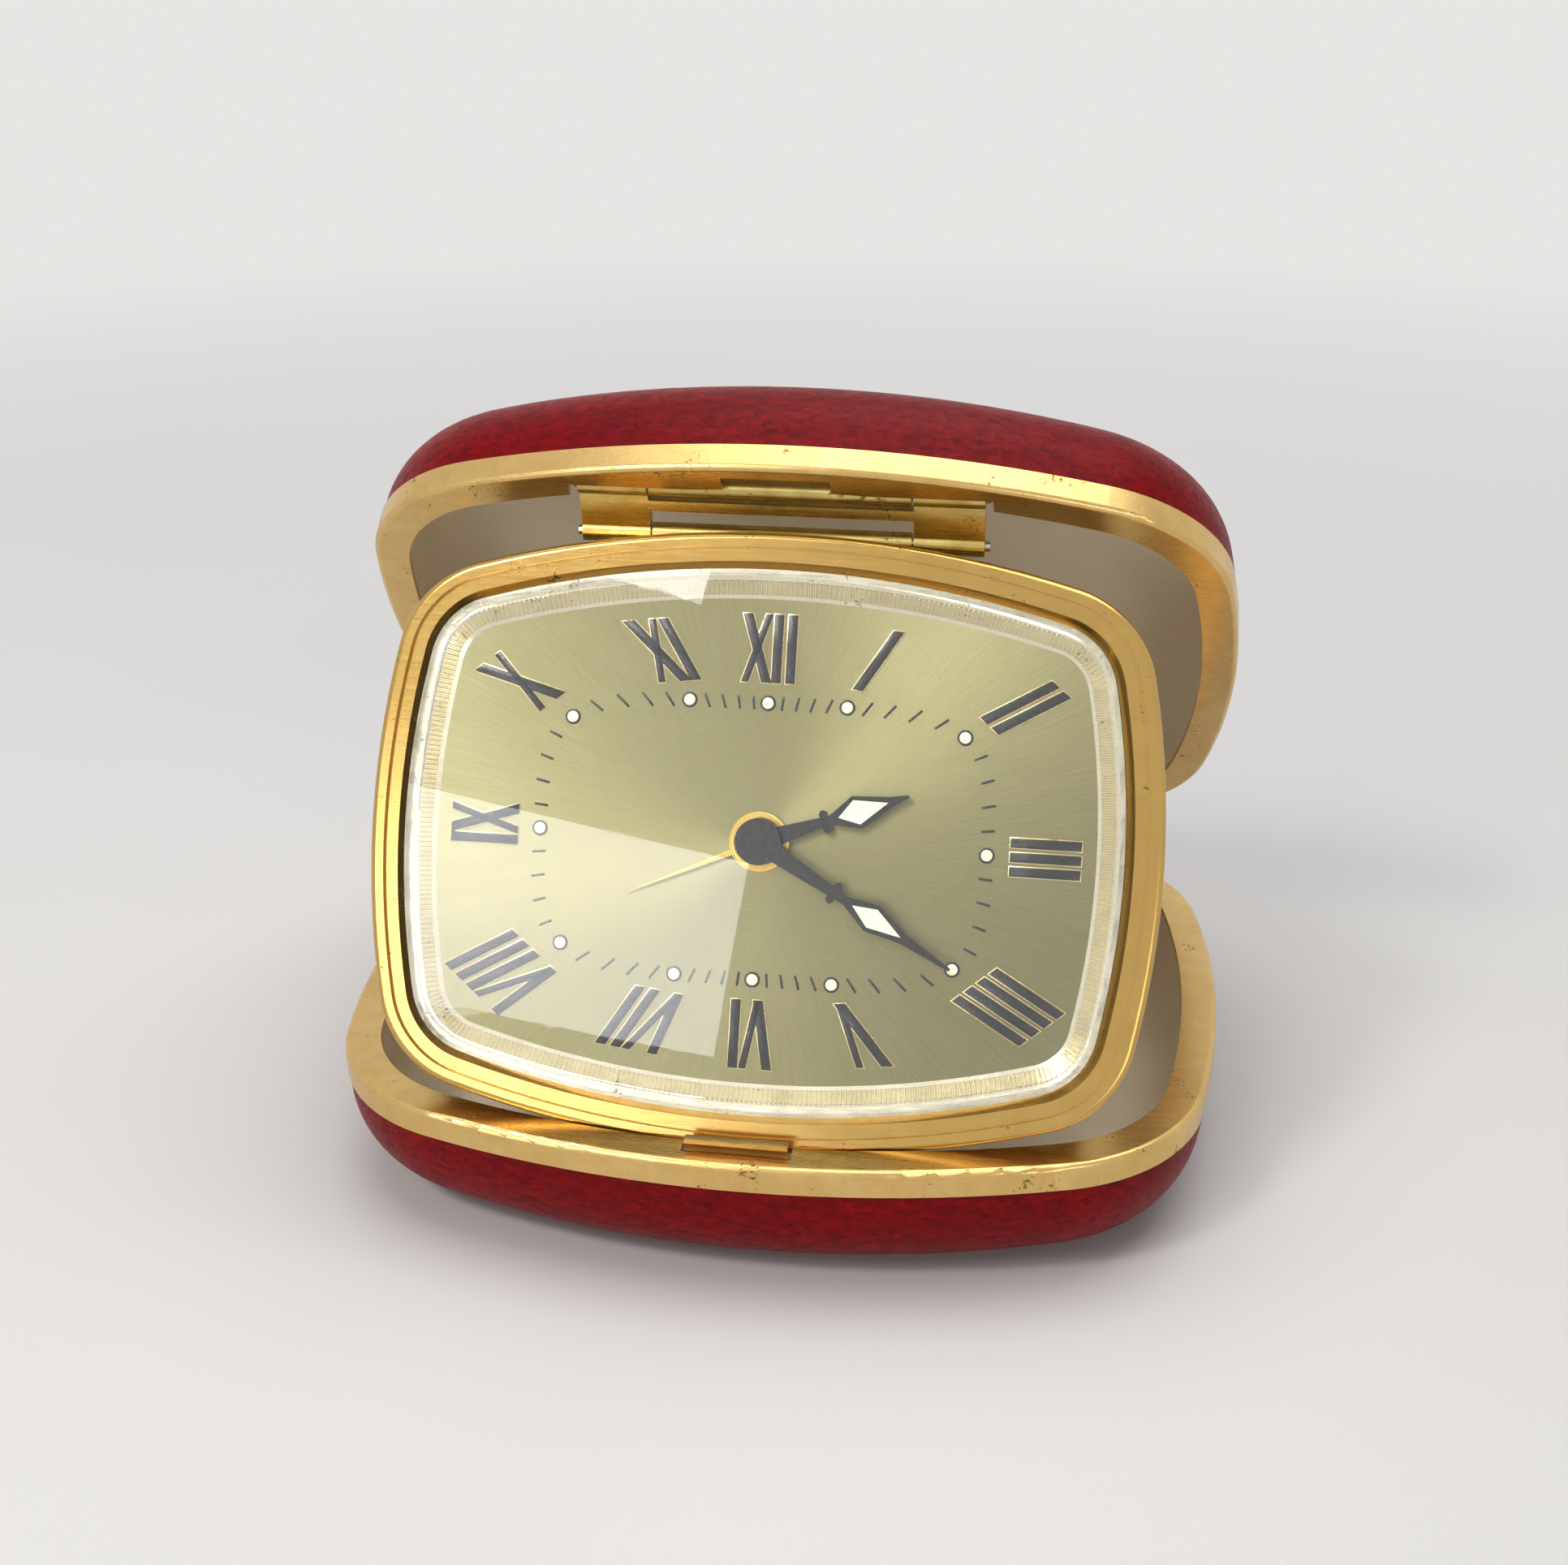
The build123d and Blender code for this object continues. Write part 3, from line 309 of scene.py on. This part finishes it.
def sunburst_dial():
    """Champagne gilt dial brushed outward from its centre."""
    material, tree, shader, place = new_material("sunburst_dial", Metallic=1.0, Anisotropic=0.7)
    heading = vector_calc(tree, "NORMALIZE", vector_calc(tree, "SUBTRACT", place, clock_centre))
    rays = noise(tree, heading, dial_ray_count, 5.0, 0.7)
    grain = noise(tree, place, 4200.0, 3.0)
    patch = patches_on(tree, place, 70.0)
    body = mix_colour(tree, spread(tree, rays, 0.3, 0.7), shade(130, 125, 86), shade(150, 146, 109))
    body = mix_colour(tree, share(tree, patch, 0.25), body, shade(128, 120, 77))
    body = mix_colour(tree, spread(tree, grain, 0.58, 0.74, 0.0, 0.35), body, shade(91, 85, 54))
    dress(tree, shader, body, spread(tree, grain, 0.3, 0.7, 0.36, 0.46))
    across = vector_calc(tree, "CROSS_PRODUCT", clock_out, heading)
    tangent = add_node(tree, "ShaderNodeVectorTransform", {"Vector": across},
                       vector_type="VECTOR", convert_from="OBJECT", convert_to="WORLD")
    tree.links.new(tangent.outputs[0], shader.inputs["Tangent"])
    roughen(tree, shader, rays, 0.002 * MM)
    return material


def ringed_gilt():
    """Gilt disc and alarm hand with fine turned rings."""
    material, tree, shader, place = new_material("ringed_gilt", Metallic=1.0)
    arm = vector_calc(tree, "SUBTRACT", place, clock_centre)
    rings = add_node(tree, "ShaderNodeTexWave", {"Vector": arm, "Scale": 1300.0, "Distortion": 0.3},
                     wave_type="RINGS", rings_direction="SPHERICAL")
    patch = patches_on(tree, place, 300.0)
    body = mix_colour(tree, patch, shade(222, 186, 104), shade(196, 158, 84))
    dress(tree, shader, body, spread(tree, patch, 0.0, 1.0, 0.2, 0.34))
    roughen(tree, shader, rings.outputs["Fac"], 0.006 * MM)
    return material


def painted(name, light, dark, smooth, rough, grain_scale, relief, coat):
    """Paint or lacquer with a fine uneven surface."""
    material, tree, shader, place = new_material(name, Coat_Weight=coat)
    grain = noise(tree, place, grain_scale)
    level = spread(tree, grain, 0.32, 0.68)
    dress(tree, shader, mix_colour(tree, level, shade(*dark), shade(*light)),
          spread(tree, level, 0.0, 1.0, rough, smooth))
    roughen(tree, shader, grain, relief)
    return material


def pale_floor():
    """Plain pale floor, lit near the clock and fading to one even tone further off."""
    material, tree, shader, place = new_material("pale_floor", Specular_IOR_Level=0.2)
    cloud = noise(tree, place, 6.0, 3.0)
    body = mix_colour(tree, spread(tree, cloud, 0.3, 0.7), shade(224, 222, 219), shade(230, 228, 226))
    dress(tree, shader, body, spread(tree, cloud, 0.3, 0.7, 0.55, 0.7))
    even = add_node(tree, "ShaderNodeEmission", {"Color": backdrop_colour, "Strength": 1.0})
    far = nearness(tree, place, (0.0, 0.0, 0.0), floor_far, floor_near)
    blend_shaders(tree, calc(tree, "MULTIPLY", backdrop_rays(tree), far), shader, even, "Material Output")
    return material


finishes = {
    "leather": crimson_leather(),
    "lining": ribbed_lining(),
    "rim": worn_metal("satin_gilt_rim", (224, 190, 124), (200, 160, 92), (100, 72, 34), 0.2, 0.32),
    "bezel": worn_metal("gilt_bezel", (206, 170, 100), (184, 144, 74), (80, 56, 24), 0.14, 0.24,
                        pit_share=0.4, dulling=0.35),
    "link": worn_metal("worn_gilt_link", (208, 188, 118), (166, 142, 74), (80, 60, 28), 0.2, 0.36,
                       pit_share=0.34, pit_scale=1900.0, dulling=0.8),
    "steel": worn_metal("drawn_steel", (206, 204, 198), (176, 172, 164), (84, 74, 62), 0.16, 0.3),
    "case_steel": worn_metal("case_sheet", (190, 186, 178), (160, 154, 146), (80, 66, 52), 0.3, 0.45),
    "nickel": worn_metal("nickel_housing", (224, 218, 204), (200, 192, 174), (140, 124, 98), 0.14, 0.26,
                         pit_share=0.41),
    "ring": worn_metal("silvered_ring", (244, 238, 214), (226, 218, 188), (140, 124, 94), 0.14, 0.26),
    "brass": worn_metal("movement_brass", (226, 190, 112), (200, 158, 82), (100, 72, 36), 0.2, 0.34),
    "key": worn_metal("key_brass", (228, 194, 116), (198, 158, 82), (86, 60, 28), 0.16, 0.3),
    "blue_steel": worn_metal("blued_spring", (70, 84, 130), (48, 56, 96), (30, 30, 44), 0.18, 0.3),
    "gilt_edge": worn_metal("gilt_edge", (226, 208, 158), (202, 180, 122), (120, 96, 56), 0.2, 0.34),
    "crystal": clear_crystal(),
    "dial": sunburst_dial(),
    "alarm": ringed_gilt(),
    "black": painted("black_lacquer", (10, 13, 15), (5, 6, 8), 0.24, 0.34, 1200.0, 0.003 * MM, 0.1),
    "lume": painted("cream_lume", (244, 241, 214), (226, 222, 186), 0.5, 0.7, 2600.0, 0.01 * MM, 0.15),
    "floor": pale_floor(),
}

# Nodes by finish; the wheels and plates that aren't listed are plain brass.
node_finish = {
    "leather": ["base_leather", "lid_leather"],
    "case_steel": ["base_shell", "lid_shell"],
    "lining": ["base_lining", "lid_lining"],
    "rim": ["base_rim", "lid_rim", "base_hinge_leaf", "lid_hinge_leaf", "base_catch"],
    "link": ["link_plate", "lid_link_barrel", "clock_link_barrel"],
    "steel": ["hinge_pin", "link_upper_pin", "link_lower_pin", "cover_screws", "minute_arbor", "lever",
              "alarm_hammer", "regulator_lever", "alarm_stop_slide"],
    "bezel": ["bezel"],
    "crystal": ["crystal"],
    "ring": ["reflector_ring"],
    "nickel": ["rear_housing", "back_cover"],
    "dial": ["dial"],
    "black": ["hour_hand", "minute_hand"],
    "lume": ["hour_hand_fill", "minute_hand_fill"],
    "alarm": ["alarm_hand"],
    "key": ["hand_setting_knob", "alarm_setting_knob", "going_key", "alarm_key"],
    "blue_steel": ["hairspring"],
}
dressed = {node: finish for finish, nodes in node_finish.items() for node in nodes}
for node, shape in frame["nodes"].items():
    shape.data.materials.clear()
    shape.data.materials.append(finishes[dressed.get(node, "brass")])


# Piece helpers

def deselect():
    bpy.ops.object.select_all(action="DESELECT")


def select_only(piece):
    deselect()
    piece.select_set(True)
    bpy.context.view_layer.objects.active = piece


def finish_piece(piece, name, finish, body, smooth_angle=40.0):
    """Names a piece, puts its place into its mesh, and gives it a finish and a body to ride on."""
    piece.name = name
    piece.data.name = name
    select_only(piece)
    bpy.ops.object.transform_apply(location=True, rotation=True, scale=True)
    bpy.ops.object.shade_smooth_by_angle(angle=radians(smooth_angle))
    piece.data.materials.clear()
    piece.data.materials.append(finishes[finish])
    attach(piece, body)
    return piece


def join_pieces(pieces):
    select_only(pieces[0])
    for piece in pieces:
        piece.select_set(True)
    bpy.ops.object.join()
    return bpy.context.object


def ease_top(piece, level, offset, segments=2):
    """Faces turned outward, and a small bevel on the edges that lie above a level."""
    bpy.ops.object.mode_set(mode="EDIT")
    bpy.ops.mesh.select_all(action="SELECT")
    bpy.ops.mesh.normals_make_consistent(inside=False)
    bpy.ops.mesh.select_all(action="DESELECT")
    mesh = bmesh.from_edit_mesh(piece.data)
    for line in mesh.edges:
        line.select = min(point.co.z for point in line.verts) > level
    bmesh.update_edit_mesh(piece.data)
    bpy.ops.mesh.bevel(offset=offset, segments=segments, affect="EDGES")
    bpy.ops.object.mode_set(mode="OBJECT")


# Dial print

dial_top = -0.5 * MM
stroke_width = 0.92 * MM
thin_stroke_width = 0.68 * MM
stroke_gap = 1.34 * MM
v_width = 2.35 * MM
x_width = 2.1 * MM
letter_space = 0.35 * stroke_gap
stroke_height = 0.16 * MM
stroke_ease = 0.05 * MM
gilt_width = 0.09 * MM
gilt_height = 0.08 * MM
gilt_ease = 0.03 * MM

# Inner and outer ends of the numerals' centre lines in the upper right quarter, by hour.
numeral_lines = {0: ((0, 15.0), (0, 21.5)), 1: ((8.4, 14.75), (12.0, 20.45)),
                 2: ((20.9, 12.05), (27.4, 15.8)), 3: ((23.5, 0), (30.1, 0))}
# In that quarter, the line along which a numeral's strokes stand side by side.
numeral_lays = {0: (1, 0), 1: (0.993, -0.12), 2: (0.77, -0.638), 3: (0, -1)}
numerals = ["XII", "I", "II", "III", "IIII", "V", "VI", "VII", "VIII", "IX", "X", "XI"]
letter_widths = {"I": stroke_gap, "V": v_width + letter_space, "X": x_width + letter_space}


def raised_bar(start, end, width, height, ease, lay=None):
    """A bar lying on the dial, its ends along lay or square, its upper edges eased."""
    run = end - start
    side = lay or Vector((-run.y, run.x)).normalized()
    side = side * width / abs(run.normalized().cross(side))
    middle = (start + end) / 2
    middle_height = dial_top + height / 2
    deselect()
    bpy.ops.mesh.primitive_cube_add(size=1)
    bar = bpy.context.object
    bar.data.transform(Matrix((
        (run.x, side.x, 0, middle.x), (run.y, side.y, 0, middle.y), (0, 0, height, middle_height), (0, 0, 0, 1))))
    ease_top(bar, middle_height, ease)
    bar.data.transform(clock_place)
    return bar


def numeral_line(hour):
    """Inner end, outer end and lay of an hour's numeral, mirrored from the upper right quarter."""
    quarter = min(hour % 6, 6 - hour % 6)
    across = 1 if hour <= 6 else -1
    upward = 1 if hour <= 3 or hour >= 9 else -1
    inner, outer = [Vector((u * across * MM, v * upward * MM)) for u, v in numeral_lines[quarter]]
    lay = Vector((numeral_lays[quarter][0] * across, numeral_lays[quarter][1] * upward))
    return inner, outer, lay


def numeral_strokes(hour):
    """The strokes of an hour's numeral, foot towards the centre: start, end and width; and its lay."""
    inner, outer, lay = numeral_line(hour)
    rise = (outer - inner).normalized()
    right = lay / lay.dot(Vector((rise.y, -rise.x)))
    reach = -sum(letter_widths[letter] for letter in numerals[hour]) / 2
    strokes = []
    for letter in numerals[hour]:
        centre = right * (reach + letter_widths[letter] / 2)
        reach += letter_widths[letter]
        foot, head = inner + centre, outer + centre
        if letter == "I":
            strokes.append((foot, head, stroke_width))
        elif letter == "V":
            strokes.append((foot, head - right * v_width / 2, stroke_width))
            strokes.append((foot, head + right * v_width / 2, thin_stroke_width))
        else:
            strokes.append((foot + right * x_width / 2, head - right * x_width / 2, stroke_width))
            strokes.append((foot - right * x_width / 2, head + right * x_width / 2, thin_stroke_width))
    return strokes, lay.normalized()


def dial_numerals():
    black_bars, gilt_bars = [], []
    for hour in range(12):
        strokes, lay = numeral_strokes(hour)
        for start, end, width in strokes:
            past = (end - start).normalized() * gilt_width
            black_bars.append(raised_bar(start, end, width, stroke_height, stroke_ease, lay))
            gilt_bars.append(raised_bar(
                start - past, end + past, width + 2 * gilt_width, gilt_height, gilt_ease, lay))
    finish_piece(join_pieces(black_bars), "hour_numerals", "black", "clock")
    finish_piece(join_pieces(gilt_bars), "numeral_edges", "gilt_edge", "clock")


track_half_width = 21.37 * MM
track_half_height = 13.08 * MM
track_squareness = 4.4
tick_length = 1.3 * MM
longest_tick = 2.0 * MM
tick_width = 0.23 * MM
tick_height = 0.04 * MM
tick_ease = 0.01 * MM
dot_radius = 0.75 * MM
dot_height = 0.1 * MM
dot_fill_radius = 0.55 * MM
dot_fill_height = 0.17 * MM
dot_ease_share = 0.6


def track_point(minute):
    """A minute's place on the squared track, its heading, and how squarely that meets the track."""
    angle = radians(90 - 6 * minute)
    heading = Vector((cos(angle), sin(angle)))
    across = abs(heading.x / track_half_width) ** track_squareness
    upward = abs(heading.y / track_half_height) ** track_squareness
    place = heading * (across + upward) ** (-1 / track_squareness)
    facing = Vector((across / heading.x if heading.x else 0, upward / heading.y if heading.y else 0))
    return place, heading, heading.dot(facing.normalized())


def raised_dot(place, radius, height):
    """A round dot on the dial with its top edge rounded over."""
    deselect()
    bpy.ops.mesh.primitive_cylinder_add(vertices=24, radius=radius, depth=height)
    dot = bpy.context.object
    dot.matrix_world = clock_place @ Matrix.Translation((place.x, place.y, dial_top + height / 2))
    ease_top(dot, 0, height * dot_ease_share, 3)
    return dot


def minute_track():
    ticks, rings, fills = [], [], []
    for minute in range(60):
        place, heading, square = track_point(minute)
        if minute % 5:
            reach = heading * min(tick_length / square, longest_tick) / 2
            ticks.append(raised_bar(place - reach, place + reach, tick_width, tick_height, tick_ease))
        else:
            rings.append(raised_dot(place, dot_radius, dot_height))
            fills.append(raised_dot(place, dot_fill_radius, dot_fill_height))
    finish_piece(join_pieces(ticks), "minute_ticks", "black", "clock")
    finish_piece(join_pieces(rings), "hour_dot_rings", "black", "clock")
    finish_piece(join_pieces(fills), "hour_dots", "lume", "clock")


# Hands: one blunt-pointed outline with a hub, a cross collar and a diamond that holds the glowing fill

hand_thickness = 0.33 * MM
hand_ease = 0.07 * MM
hub_radius = 2.2 * MM
hub_steps = 36
stem_root_half = 0.85 * MM
stem_end_half = 0.42 * MM
collar_half = 1.1 * MM
collar_height = 0.8 * MM
collar_ease = collar_height / 3
tip_half = 0.5 * MM
point_half = 0.14 * MM
window_wall = 0.42 * MM
window_near_wall = 1.9 * window_wall
window_far_wall = window_wall / 2
fill_rise = 0.07 * MM

# By hand: turn from twelve in degrees; in mm its underside, length, collar, the diamond's near end, middle
# and far end, and half the diamond's width.
hands = {
    "hour_hand": (70.0, 0.3, 14.8, 6.6, (7.1, 9.7, 13.0), 1.6),
    "minute_hand": (120.0, 0.95, 21.5, 8.6, (9.9, 12.9, 16.3), 1.4),
}


def flat_outline(points, low, thickness):
    """A flat piece with this outline, its upper edge eased by a small bevel."""
    deselect()
    bpy.ops.mesh.primitive_circle_add(vertices=len(points), fill_type="NGON")
    piece = bpy.context.object
    for vertex, point in zip(piece.data.vertices, points):
        vertex.co = (*point, low)
    bpy.ops.object.mode_set(mode="EDIT")
    bpy.ops.mesh.select_all(action="SELECT")
    bpy.ops.mesh.extrude_region_move(TRANSFORM_OT_translate={"value": (0, 0, thickness)})
    bpy.ops.object.mode_set(mode="OBJECT")
    ease_top(piece, low + thickness / 2, hand_ease)
    return piece


def hand_outline(length, collar_at, diamond, diamond_half):
    """Right side from hub to point, then its mirror image, then round the hub."""
    near, middle, far = diamond
    root = sqrt(hub_radius ** 2 - stem_root_half ** 2)
    slope = (stem_end_half - stem_root_half) / (near - root)
    collar_low, collar_high = collar_at - collar_height / 2, collar_at + collar_height / 2
    right = [
        (stem_root_half, root),
        (stem_root_half + slope * (collar_low - root), collar_low),
        (collar_half - collar_ease, collar_low), (collar_half, collar_low + collar_ease),
        (collar_half, collar_high - collar_ease), (collar_half - collar_ease, collar_high),
        (stem_root_half + slope * (collar_high - root), collar_high),
        (stem_end_half, near), (diamond_half, middle), (tip_half, far), (point_half, length),
    ]
    left = [(-x, y) for x, y in reversed(right)]
    start = atan2(root, -stem_root_half)
    sweep = 2 * pi - 2 * (pi / 2 - atan2(root, stem_root_half))
    turns = [start + sweep * step / hub_steps for step in range(1, hub_steps)]
    return right + left + [(hub_radius * cos(turn), hub_radius * sin(turn)) for turn in turns]


def dial_hands():
    for name, (turn, *lengths, diamond, half) in hands.items():
        low, length, collar_at, half = [value * MM for value in (*lengths, half)]
        near, middle, far = diamond = [value * MM for value in diamond]
        window = [(0, near + window_near_wall), (half - window_wall, middle),
                  (0, far - window_far_wall), (window_wall - half, middle)]
        outline = flat_outline(hand_outline(length, collar_at, diamond, half), low, hand_thickness)
        fill = flat_outline(window, low, hand_thickness + fill_rise)
        for piece, node, finish, slot in ((outline, name, "black", "hand_black"),
                                          (fill, name + "_fill", "lume", "hand_fill")):
            piece.data.transform(clock_place @ Matrix.Rotation(-radians(turn), 4, "Z"))
            finish_piece(piece, "shaped_" + node, finish, name)
            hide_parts(node)


# Fluted ring between dial and crystal

clock_half_width = 37.7 * MM
clock_half_height = 29.1 * MM
clock_side_radius = 85.7 * MM
clock_end_radius = 104.3 * MM
clock_corner_radius = 10.5 * MM
ring_low_inset = 6.2 * MM
ring_high_inset = 4.15 * MM
ring_low = -0.5 * MM
ring_high = 0.5 * MM
flutes_in_quarter = 106
flute_height = 0.36 * MM
flute_start_share = 0.2
flute_stop_share = 0.8
flute_crest_share = 0.12
flute_lift_share = 0.4
flute_smooth_angle = 20.0


def ring_places():
    """Places evenly along one quarter of the clock's outline: arc centre, arc radius and heading."""
    side_centre = Vector((clock_half_width - clock_side_radius, 0))
    end_centre = Vector((0, clock_half_height - clock_end_radius))
    span = end_centre - side_centre
    side_reach = clock_side_radius - clock_corner_radius
    end_reach = clock_end_radius - clock_corner_radius
    along = (span.length_squared + side_reach ** 2 - end_reach ** 2) / (2 * span.length)
    across = sqrt(side_reach ** 2 - along ** 2)
    unit = span.normalized()
    corner_centre = side_centre + unit * along + Vector((-unit.y, unit.x)) * across
    to_side, to_end = corner_centre - side_centre, corner_centre - end_centre
    side_turn, end_turn = atan2(to_side.y, to_side.x), atan2(to_end.y, to_end.x)
    arcs = [(side_centre, clock_side_radius, 0, side_turn),
            (corner_centre, clock_corner_radius, side_turn, end_turn),
            (end_centre, clock_end_radius, end_turn, pi / 2)]
    inset = (ring_low_inset + ring_high_inset) / 2
    lengths = [(radius - inset) * (stop - start) for _, radius, start, stop in arcs]
    places = []
    for step in range(flutes_in_quarter):
        run = (step + 0.5) / flutes_in_quarter * sum(lengths)
        for (centre, radius, start, _), length in zip(arcs, lengths):
            if run <= length:
                break
            run -= length
        angle = start + run / (radius - inset)
        places.append((centre, radius, Vector((cos(angle), sin(angle)))))
    return places, sum(lengths) / flutes_in_quarter


def one_flute():
    """A small ridge, one unit each way, drawn in to an edge along its top."""
    deselect()
    bpy.ops.mesh.primitive_cube_add(size=1)
    flute = bpy.context.object
    bpy.ops.object.mode_set(mode="EDIT")
    bpy.ops.mesh.select_all(action="DESELECT")
    mesh = bmesh.from_edit_mesh(flute.data)
    for face in mesh.faces:
        face.select = face.normal.z > 0.5
    bmesh.update_edit_mesh(flute.data)
    bpy.ops.transform.resize(value=(flute_crest_share, 1.0, 1.0))
    bpy.ops.object.mode_set(mode="OBJECT")
    return flute


def flute_shape(centre, radius, heading, pitch, across, upward):
    """Where a flute lies on the ring's slope, in the quarter that across and upward name."""
    inner, outer = centre + heading * (radius - ring_low_inset), centre + heading * (radius - ring_high_inset)
    foot = Vector((inner.x * across, inner.y * upward, ring_low))
    rise = Vector((outer.x * across, outer.y * upward, ring_high)) - foot
    slope = rise * (flute_stop_share - flute_start_share)
    tangent = Vector((-heading.y * across, heading.x * upward, 0)).normalized() * pitch
    normal = tangent.cross(slope).normalized() * flute_height
    if normal.z < 0:
        tangent, normal = -tangent, -normal
    middle = foot + rise * (flute_start_share + flute_stop_share) / 2 + normal * flute_lift_share
    return Matrix.Translation(middle) @ Matrix((tangent, slope, normal)).transposed().to_4x4()


def fluted_ring():
    places, pitch = ring_places()
    flute = one_flute()
    copies = []
    for across, upward in ((1, 1), (1, -1), (-1, 1), (-1, -1)):
        for centre, radius, heading in places:
            copy = bpy.data.objects.new("flute", flute.data.copy())
            copy.data.transform(clock_place @ flute_shape(centre, radius, heading, pitch, across, upward))
            bpy.context.collection.objects.link(copy)
            copies.append(copy)
    bpy.data.objects.remove(flute)
    finish_piece(join_pieces(copies), "fluted_ring", "ring", "clock", flute_smooth_angle)


# Domes whose packed normals leave a mark at the top

merge_distance = 0.001 * MM


def smooth_copy(node, name, finish, body):
    """A node's shape again, merged so that its dome shades evenly."""
    copy = bpy.data.objects.new(name, frame["nodes"][node].data.copy())
    bpy.context.collection.objects.link(copy)
    select_only(copy)
    bpy.ops.mesh.customdata_custom_splitnormals_clear()
    bpy.ops.object.mode_set(mode="EDIT")
    bpy.ops.mesh.select_all(action="SELECT")
    bpy.ops.mesh.remove_doubles(threshold=merge_distance)
    bpy.ops.object.mode_set(mode="OBJECT")
    finish_piece(copy, name, finish, body)
    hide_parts(node)


dial_numerals()
minute_track()
dial_hands()
fluted_ring()
smooth_copy("lid_leather", "crowned_lid_leather", "leather", "lid")
smooth_copy("crystal", "domed_crystal", "crystal", "clock")


# Floor, light and camera

floor_size = 8.0
ambient_colour = (0.86, 0.88, 0.92, 1.0)
ambient_strength = 0.3
light_target = Vector((0.0, -0.01, 0.035))

# By light: place, size, power and colour.
studio_lights = {
    "low_window": ((-0.24, -0.546, 0.2), (0.3, 0.13), 0.42, (0.95, 0.97, 1.0)),
    "left_window": ((-0.252, -0.355, 0.47), (0.09, 0.09), 0.8, (1.0, 0.98, 0.95)),
    "tall_window": ((-0.195, -0.45, 0.486), (0.16, 0.16), 0.5, (1.0, 0.98, 0.95)),
    "right_fill": ((0.3, -0.5, 0.1), (0.25, 0.15), 0.26, (1.0, 0.95, 0.88)),
    "ceiling_light": ((0.08, 0.1, 0.75), (0.7, 0.7), 3.5, (1.0, 1.0, 1.0)),
}

camera_place = (29.72 * MM, -198.42 * MM, 127.15 * MM)
camera_down = 24.379
camera_turn = 8.736
camera_roll = -0.2675
camera_lens = 48.81
camera_sensor = 36.0
camera_nearest = 0.01


def studio_floor():
    deselect()
    bpy.ops.mesh.primitive_plane_add(size=floor_size)
    floor = bpy.context.object
    floor.name = "studio_floor"
    floor.data.materials.append(finishes["floor"])


def studio_world():
    """Soft light from all round, with the backdrop's tone where it is seen."""
    world = bpy.data.worlds.new("studio")
    world.use_nodes = True
    bpy.context.scene.world = world
    tree = world.node_tree
    ambient = tree.nodes["Background"]
    ambient.inputs["Color"].default_value = ambient_colour
    ambient.inputs["Strength"].default_value = ambient_strength
    backdrop = add_node(tree, "ShaderNodeBackground", {"Color": backdrop_colour, "Strength": 1.0})
    blend_shaders(tree, backdrop_rays(tree), ambient, backdrop, "World Output")


def area_light(name, place, size, power, colour):
    lamp = bpy.data.lights.new(name, "AREA")
    lamp.shape = "RECTANGLE"
    lamp.size, lamp.size_y = size
    lamp.energy = power
    lamp.color = colour
    holder = bpy.data.objects.new(name, lamp)
    bpy.context.collection.objects.link(holder)
    holder.location = place
    holder.rotation_euler = (light_target - Vector(place)).to_track_quat("-Z", "Y").to_euler()


def photo_camera():
    camera = bpy.data.cameras.new("photo_camera")
    camera.lens = camera_lens
    camera.sensor_width = camera_sensor
    camera.clip_start = camera_nearest
    holder = bpy.data.objects.new("photo_camera", camera)
    bpy.context.collection.objects.link(holder)
    holder.matrix_world = (
        Matrix.Translation(camera_place) @ Matrix.Rotation(radians(camera_turn), 4, "Z")
        @ Matrix.Rotation(radians(90 - camera_down), 4, "X") @ Matrix.Rotation(radians(camera_roll), 4, "Z"))
    bpy.context.scene.camera = holder


studio_floor()
studio_world()
for light, settings in studio_lights.items():
    area_light(light, *settings)
photo_camera()
bpy.context.scene.view_settings.view_transform = "Standard"
